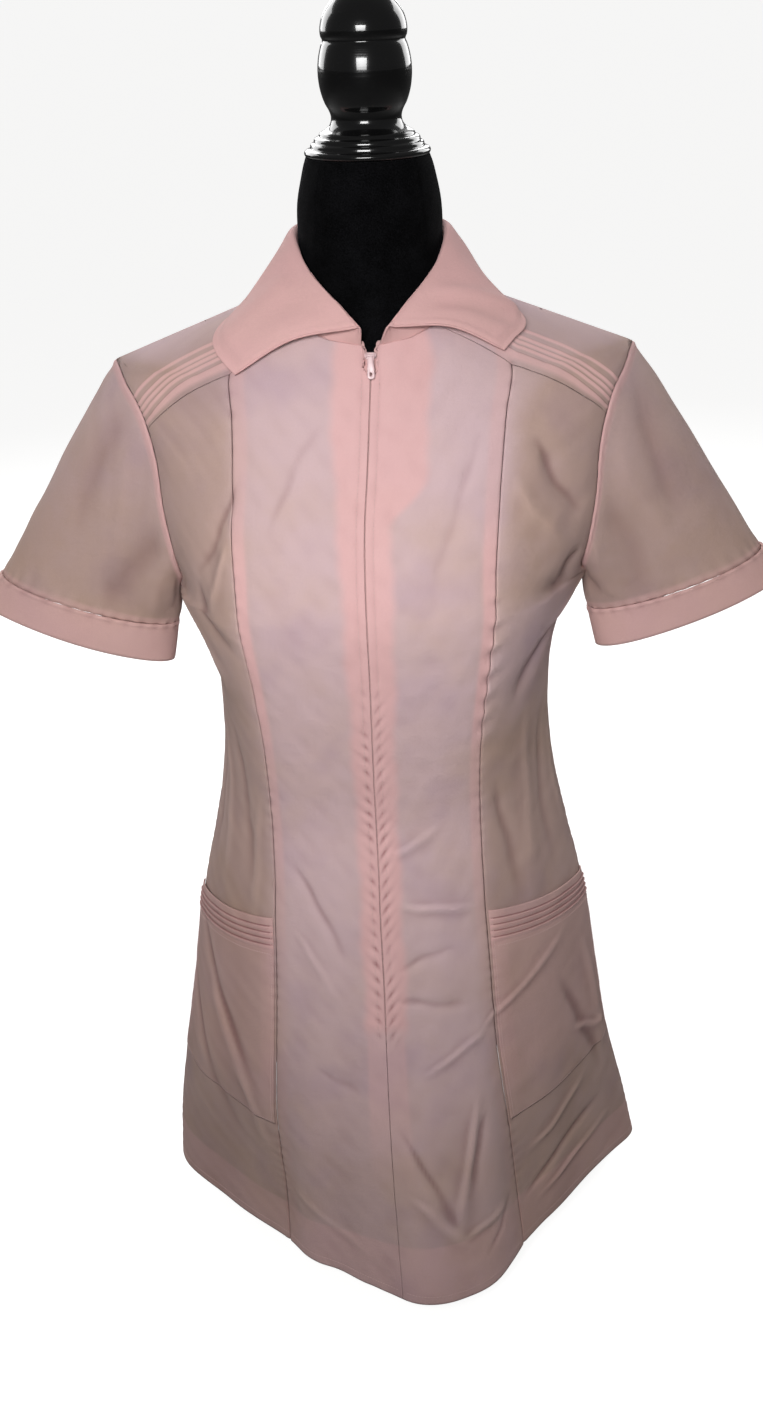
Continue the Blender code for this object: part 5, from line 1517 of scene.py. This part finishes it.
def buildMottle(tree, given):
    # Soft cloudy patches at three sizes, from 0 to 1.
    wide = noise(tree, given["Place"], 7.0, 2.0)
    middle = noise(tree, given["Place"], 26.0, 3.0)
    fine = noise(tree, given["Place"], 120.0, 3.0, 0.6)
    total = maths(tree, "ADD", maths(tree, "MULTIPLY", wide, 0.45), maths(tree, "MULTIPLY", middle, 0.35))
    total = maths(tree, "ADD", total, maths(tree, "MULTIPLY", fine, 0.20))
    return remap(tree, total, 0.30, 0.70, 0.0, 1.0)


def buildCrumple(tree, given):
    # Small soft dents and slubs, as a height.
    soft = noise(tree, given["Place"], 55.0, 3.0, 0.5)
    small = noise(tree, given["Place"], 260.0, 2.0, 0.6)
    return maths(tree, "ADD", soft, maths(tree, "MULTIPLY", small, 0.25))


def buildGrain(tree, given):
    # Short upright fibres: specks of light and dark.
    specks = noise(tree, given["Place"], 1400.0, 2.0, 0.7)
    patches = noise(tree, given["Place"], 40.0, 3.0, 0.6)
    return maths(tree, "ADD", maths(tree, "MULTIPLY", specks, 0.7), maths(tree, "MULTIPLY", patches, 0.3))


vector = ("Place", "NodeSocketVector")
weaveGroup = effectGroup("Weave", [vector, ("Pitch", "NodeSocketFloat")], "Height", buildWeave)
mottleGroup = effectGroup("Mottle", [vector], "Amount", buildMottle)
crumpleGroup = effectGroup("Crumple", [vector], "Height", buildCrumple)
grainGroup = effectGroup("Grain", [vector], "Amount", buildGrain)


def useGroup(tree, group, **values):
    return addNode(tree, "ShaderNodeGroup", values, node_tree=group).outputs[0]


def newMaterial(name, **constants):
    material = bpy.data.materials.new(name)
    material.use_nodes = True
    shader = material.node_tree.nodes["Principled BSDF"]
    for key, value in constants.items():
        shader.inputs[key.replace("_", " ")].default_value = value
    return material, material.node_tree, shader


def bumpInto(tree, shader, height, distance, strength=1.0):
    bump = addNode(tree, "ShaderNodeBump", {"Height": height, "Distance": distance, "Strength": strength})
    tree.links.new(bump.outputs[0], shader.inputs["Normal"])


# Cloth colours are linear: where it lies on the black form, where it hangs clear, and where it is double. The
# clear colour is darker, partly as painted shade of the hollow behind the sheer cloth and of the flanks; the
# shadow colour is painted shade in folds, and the low factor is painted shade towards the bottom.
clothSet = {
    "contact": (0.605, 0.436, 0.456, 1),
    "clear": (0.440, 0.302, 0.262, 1),
    "double": (0.690, 0.405, 0.395, 1),
    "tan": (0.95, 0.93, 0.82, 1),
    "mauve": (0.88, 0.87, 0.94, 1),
    "shadow": (0.46, 0.34, 0.36, 1),
    "lowShade": 0.88,
    "weave": 0.00045,
}


def clothMaterial():
    c = clothSet
    material, tree, shader = newMaterial("pink_cloth", Roughness=0.85,
                                         Sheen_Weight=0.10, Sheen_Roughness=0.45)
    shader.inputs["Specular IOR Level"].default_value = 0.30
    shader.inputs["Sheen Tint"].default_value = (1.0, 0.86, 0.86, 1)
    spot = tree.nodes.new("ShaderNodeTexCoord").outputs["Object"]
    grain = addNode(tree, "ShaderNodeUVMap", uv_map="grain").outputs[0]

    def read(name):
        return addNode(tree, "ShaderNodeAttribute", attribute_name=name).outputs["Fac"]

    mottle = useGroup(tree, mottleGroup, Place=spot)
    layers, gap, crease = read("layers"), read("gap"), read("crease")
    blotch = maths(tree, "MULTIPLY", maths(tree, "SUBTRACT", mottle, 0.5), 0.5)
    # The clear tone is darker: partly painted shade of the hollow behind the sheer cloth and of the flanks.
    clear = maths(tree, "ADD", gap, blotch, clamp=True)
    single = blendColour(tree, clear, c["contact"], c["clear"])
    stain = remap(tree, noise(tree, spot, 11.0, 3.0, 0.55), 0.50, 0.70, 0.0, 0.75)
    single = blendColour(tree, stain, single, c["tan"], "MULTIPLY")
    cool = remap(tree, noise(tree, spot, 17.0, 2.0, 0.5), 0.52, 0.70, 0.0, 0.8)
    single = blendColour(tree, cool, single, c["mauve"], "MULTIPLY")
    pieced = maths(tree, "MULTIPLY", layers, remap(tree, mottle, 0.0, 1.0, 1.05, 0.70), clamp=True)
    colour = blendColour(tree, pieced, single, c["double"])
    light = remap(tree, mottle, 0.0, 1.0, 0.93, 1.06)
    # Painted shade: folds, pinches and flanks are tinted towards the shadow colour, and crests get a painted
    # highlight.
    foldShade = blendColour(tree, remap(tree, crease, -0.35, 0.5, 0.0, 1.0), c["shadow"], (1.0, 1.0, 1.0, 1))
    crestHighlight = remap(tree, crease, 0.5, 1.0, 1.0, 1.12)
    # Painted shade: the cloth is darker towards the bottom.
    height = addNode(tree, "ShaderNodeSeparateXYZ", {0: spot}).outputs[2]
    low = remap(tree, height, 0.20, 0.62, c["lowShade"], 1.0)
    weave = useGroup(tree, weaveGroup, Place=grain, Pitch=c["weave"])
    thread = remap(tree, weave, -0.3, 0.9, 0.91, 1.09)
    factor = maths(tree, "MULTIPLY", light, crestHighlight)
    factor = maths(tree, "MULTIPLY", factor, maths(tree, "MULTIPLY", low, thread))
    colour = blendColour(tree, 1.0, colour, foldShade, "MULTIPLY")
    shade = addNode(tree, "ShaderNodeCombineXYZ", {0: factor, 1: factor, 2: factor}).outputs[0]
    tree.links.new(blendColour(tree, 1.0, colour, shade, "MULTIPLY"), shader.inputs["Base Color"])
    crumple = useGroup(tree, crumpleGroup, Place=spot)
    bumps = maths(tree, "ADD", maths(tree, "MULTIPLY", weave, 0.10), crumple)
    bumpInto(tree, shader, bumps, 0.0011, 0.8)
    return material


def threadMaterial(name, colour):
    material, tree, shader = newMaterial(name, Roughness=0.55, Sheen_Weight=0.2, Sheen_Roughness=0.4)
    spot = tree.nodes.new("ShaderNodeTexCoord").outputs["Object"]
    grain = useGroup(tree, grainGroup, Place=spot)
    dark = tuple(value * 0.8 for value in colour) + (1,)
    tree.links.new(blendColour(tree, grain, dark, colour + (1,)), shader.inputs["Base Color"])
    bumpInto(tree, shader, grain, 0.0001, 0.6)
    return material


def velvetMaterial():
    material, tree, shader = newMaterial("black_velvet", Roughness=1.0,
                                         Sheen_Weight=0.10, Sheen_Roughness=0.35)
    shader.inputs["Sheen Tint"].default_value = (0.10, 0.10, 0.115, 1)
    shader.inputs["Specular IOR Level"].default_value = 0.05
    spot = tree.nodes.new("ShaderNodeTexCoord").outputs["Object"]
    grain = useGroup(tree, grainGroup, Place=spot)
    tree.links.new(blendColour(tree, remap(tree, grain, 0.42, 0.68, 0.0, 1.0), (0.0006, 0.0006, 0.0007, 1),
                               (0.0065, 0.0065, 0.0075, 1)), shader.inputs["Base Color"])
    bumpInto(tree, shader, grain, 0.0006, 0.8)
    return material


def lacquerMaterial():
    material, tree, shader = newMaterial("black_lacquer", Roughness=0.20,
                                         Coat_Weight=0.8, Coat_Roughness=0.03)
    spot = tree.nodes.new("ShaderNodeTexCoord").outputs["Object"]
    shader.inputs["Specular IOR Level"].default_value = 0.2
    dust = useGroup(tree, grainGroup, Place=spot)
    tree.links.new(blendColour(tree, remap(tree, dust, 0.58, 0.75, 0.0, 1.0), (0.0032, 0.0032, 0.0034, 1),
                               (0.016, 0.016, 0.016, 1)), shader.inputs["Base Color"])
    wear = useGroup(tree, mottleGroup, Place=spot)
    tree.links.new(remap(tree, wear, 0.0, 1.0, 0.14, 0.30), shader.inputs["Roughness"])
    stretched = addNode(tree, "ShaderNodeMapping", {"Vector": spot, "Scale": (2, 2, 90)}).outputs[0]
    rings = noise(tree, stretched, 6.0, 2.0)
    bumpInto(tree, shader, rings, 0.0002, 0.5)
    return material


def metalMaterial():
    material, tree, shader = newMaterial("black_metal", Roughness=0.42, Metallic=0.6)
    spot = tree.nodes.new("ShaderNodeTexCoord").outputs["Object"]
    wear = useGroup(tree, mottleGroup, Place=spot)
    tree.links.new(blendColour(tree, wear, (0.010, 0.010, 0.011, 1), (0.020, 0.020, 0.021, 1)),
                   shader.inputs["Base Color"])
    tree.links.new(remap(tree, wear, 0.0, 1.0, 0.36, 0.50), shader.inputs["Roughness"])
    bumpInto(tree, shader, useGroup(tree, grainGroup, Place=spot), 0.0001, 0.3)
    return material


def enamelMaterial():
    material, tree, shader = newMaterial("pink_enamel", Roughness=0.42, Coat_Weight=0.25, Coat_Roughness=0.20)
    spot = tree.nodes.new("ShaderNodeTexCoord").outputs["Object"]
    fine = addNode(tree, "ShaderNodeMapping", {"Vector": spot, "Scale": (12, 12, 12)}).outputs[0]
    wear = useGroup(tree, mottleGroup, Place=fine)
    tree.links.new(blendColour(tree, wear, (0.58, 0.38, 0.39, 1), (0.68, 0.49, 0.50, 1)),
                   shader.inputs["Base Color"])
    bumpInto(tree, shader, wear, 0.0001, 0.4)
    return material


cloth = clothMaterial()
thread = threadMaterial("pink_thread", (0.62, 0.42, 0.40))
teeth = threadMaterial("pink_coil", (0.52, 0.33, 0.32))
velvet = velvetMaterial()
lacquer = lacquerMaterial()
metal = metalMaterial()
enamel = enamelMaterial()
print("made the materials")


def dress(piece, material, body, nodes=()):
    piece.data.materials.clear()
    piece.data.materials.append(material)
    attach(piece, body)
    if nodes:
        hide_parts(*nodes)
    return piece


root = "root"
seamLift = 0.00005


def sewn(piece, node, seam=None, lines=()):
    # Cloth over its node, with its stitch lines.
    dress(piece, cloth, root, [node])
    extras = [dress(stitches(seam, lines), thread, root)] if seam else []


def zipSeamLines(sign):
    z = np.linspace(cut["zipEnd"] - 0.004, 0.800, 900)
    offset = cut["stitchLine"] / rowAt(bodyRows, z)[:, 2]
    return [bodyLine(sign * offset, z, seamLift)]


def pocketSeamLines(sign):
    s = np.linspace(0.02, 0.98, 300)
    t = np.linspace(0.02, 0.97, 300)
    first = 1 - pocketSet["band"] / (pocketSet["topSeam"] - pocketSet["bottom"])
    edges = ((np.full(300, 0.02), t), (np.full(300, 0.98), t),
             (s, np.full(300, 0.012)), (s, np.full(300, first - 0.012)))
    lines = []
    for a, b in edges:
        around, level = pocketPlace(sign, a, b)
        lines.append(bodyLine(around, level, pocketLift(a, b) + seamLift))
    return lines


def hemSeamLines():
    around = np.linspace(0.03, 3.999, 2600)
    level = np.full(len(around), cut["hem"] + 0.0075)
    return [bodyLine(around, level, seamLift), bodyLine(-around, level, seamLift)]


# Assembly. Pieces in pairs: builder, node, flat width and length, share, and any stitch lines
pairRows = (
    (frontPanel, "front", (0.115, 0.800), 0.88, "zip_stitches", zipSeamLines),
    (sideFrontPanel, "side_front", (0.175, 0.760), 0.77, None, None),
    (yokePanel, "yoke", (0.165, 0.090), 0.80, None, None),
    (sideBackPanel, "side_back", (0.170, 0.800), 0.75, None, None),
    (sleeve, "sleeve", (0.400, 0.185), 0.67, None, None),
    (cuff, "cuff", (0.385, 0.030), 1.0, None, None),
    (pocket, "pocket", (0.155, 0.215), 0.86, "pocket_stitches", pocketSeamLines),
)
for sign, word in ((1, "left"), (-1, "right")):
    for build, node, flat, share, seam, lines in pairRows:
        piece = build(sign, f"{node}_{word}_cloth")
        if seam:
            sewn(piece, f"{node}_{word}", f"{seam}_{word}", lines(sign))
        else:
            sewn(piece, f"{node}_{word}")
sewn(backPanel("back_cloth"), "back", "hem_stitches", hemSeamLines())
sewn(collar("collar_cloth"), "collar")

dress(zipTape("zip_tape_cloth"), cloth, root, ["zip_tape"])
for sign, word in ((1, "left"), (-1, "right")):
    dress(tapeEnd(sign, f"zip_tape_end_{word}"), cloth, root, ["zip_tape"])
dress(zipTeeth("zip_teeth"), teeth, root, ["zip_coil"])
dress(slider("zip_slider_enamel"), enamel, root, ["zip_slider"])
dress(zipPull("zip_pull_enamel"), enamel, "pull", ["zip_pull"])

dress(torso("form_torso_velvet"), velvet, root, ["form_torso"])
dress(turned("form_neck_cap_lacquer", capProfile, 0.9383, 128), lacquer,
      root, ["form_neck_cap"])
dress(turned("stand_pole_metal", poleProfile, 0.0183, 64), metal, root, ["stand_pole"])
dress(turned("stand_base_lacquer", baseProfile, 0.0, 160), lacquer, root, ["stand_base"])
print("assembled the pieces")

# Floor, light and camera
stageSet = {
    "floorRadius": 140.0,
    "floorColour": (0.34, 0.337, 0.335, 1),
    "floorGlow": (0.87, 0.868, 0.864, 1),
    "world": (1.0, 1.0, 1.0, 1),
    "worldLevel": 0.14,
    "backdropLevel": 0.91,
    "lights": (
        ("key", (-0.16, -1.24, 1.22), (0.0, -0.10, 0.57), (0.55, 0.4), 3.9, 80),
        ("left_fill", (1.3, 1.3, 1.5), (0.0, 0.0, 0.60), (1.2, 1.2), 17.0, 180),
        ("right_fill", (-1.3, 1.3, 1.5), (0.0, 0.0, 0.60), (1.2, 1.2), 17.0, 180),
        ("back_fill", (-0.1, 1.8, 1.6), (0.0, 0.0, 0.60), (1.2, 1.0), 20.0, 180),
    ),
}


def floorPiece():
    mesh = bmesh.new()
    bmesh.ops.create_circle(mesh, cap_ends=True, segments=96, radius=stageSet["floorRadius"])
    data = meshData("floor", mesh)
    piece = addObject("floor", data)
    material, tree, shader = newMaterial("pale_floor", Roughness=0.9)
    shader.inputs["Base Color"].default_value = stageSet["floorColour"]
    shader.inputs["Specular IOR Level"].default_value = 0.1
    shader.inputs["Emission Color"].default_value = stageSet["floorGlow"]
    seen = tree.nodes.new("ShaderNodeLightPath").outputs["Is Camera Ray"]
    tree.links.new(seen, shader.inputs["Emission Strength"])
    data.materials.append(material)
    return piece


def addLight(name, place, aim, size, power, spreadAngle):
    data = bpy.data.lights.new(name, "AREA")
    data.shape = "RECTANGLE"
    data.size, data.size_y = size
    data.energy = power
    data.spread = radians(spreadAngle)
    light = addObject(name, data)
    light.location = place
    light.rotation_euler = (Vector(aim) - Vector(place)).to_track_quat("-Z", "Y").to_euler()
    light.visible_camera = False


def addCamera():
    c = cameraSet
    forward = Vector((sin(c["yaw"]) * cos(c["pitch"]), cos(c["yaw"]) * cos(c["pitch"]), -sin(c["pitch"])))
    right = Vector((cos(c["yaw"]), -sin(c["yaw"]), 0))
    up = right.cross(forward)
    tiltedRight = right * cos(c["roll"]) + up * sin(c["roll"])
    tiltedUp = up * cos(c["roll"]) - right * sin(c["roll"])
    data = bpy.data.cameras.new("camera")
    data.sensor_fit = "VERTICAL"
    data.sensor_height = c["sensor"]
    data.lens = c["focalPixels"] * c["sensor"] / c["photoHeight"]
    data.clip_start = 0.01
    data.clip_end = 100.0
    camera = addObject("camera", data)
    turn = Matrix((tiltedRight, tiltedUp, -forward)).transposed().to_4x4()
    turn.translation = Vector(c["place"])
    camera.matrix_world = turn
    bpy.context.scene.camera = camera


floorPiece()
for light in stageSet["lights"]:
    addLight(*light)
addCamera()
world = bpy.data.worlds.new("studio")
world.use_nodes = True
background = world.node_tree.nodes["Background"]
background.inputs[0].default_value = stageSet["world"]
seen = world.node_tree.nodes.new("ShaderNodeLightPath").outputs["Is Camera Ray"]
level = remap(world.node_tree, seen, 0.0, 1.0, stageSet["worldLevel"], stageSet["backdropLevel"])
world.node_tree.links.new(level, background.inputs[1])
bpy.context.scene.world = world
bpy.context.scene.view_settings.view_transform = "Standard"
print("set the stage")
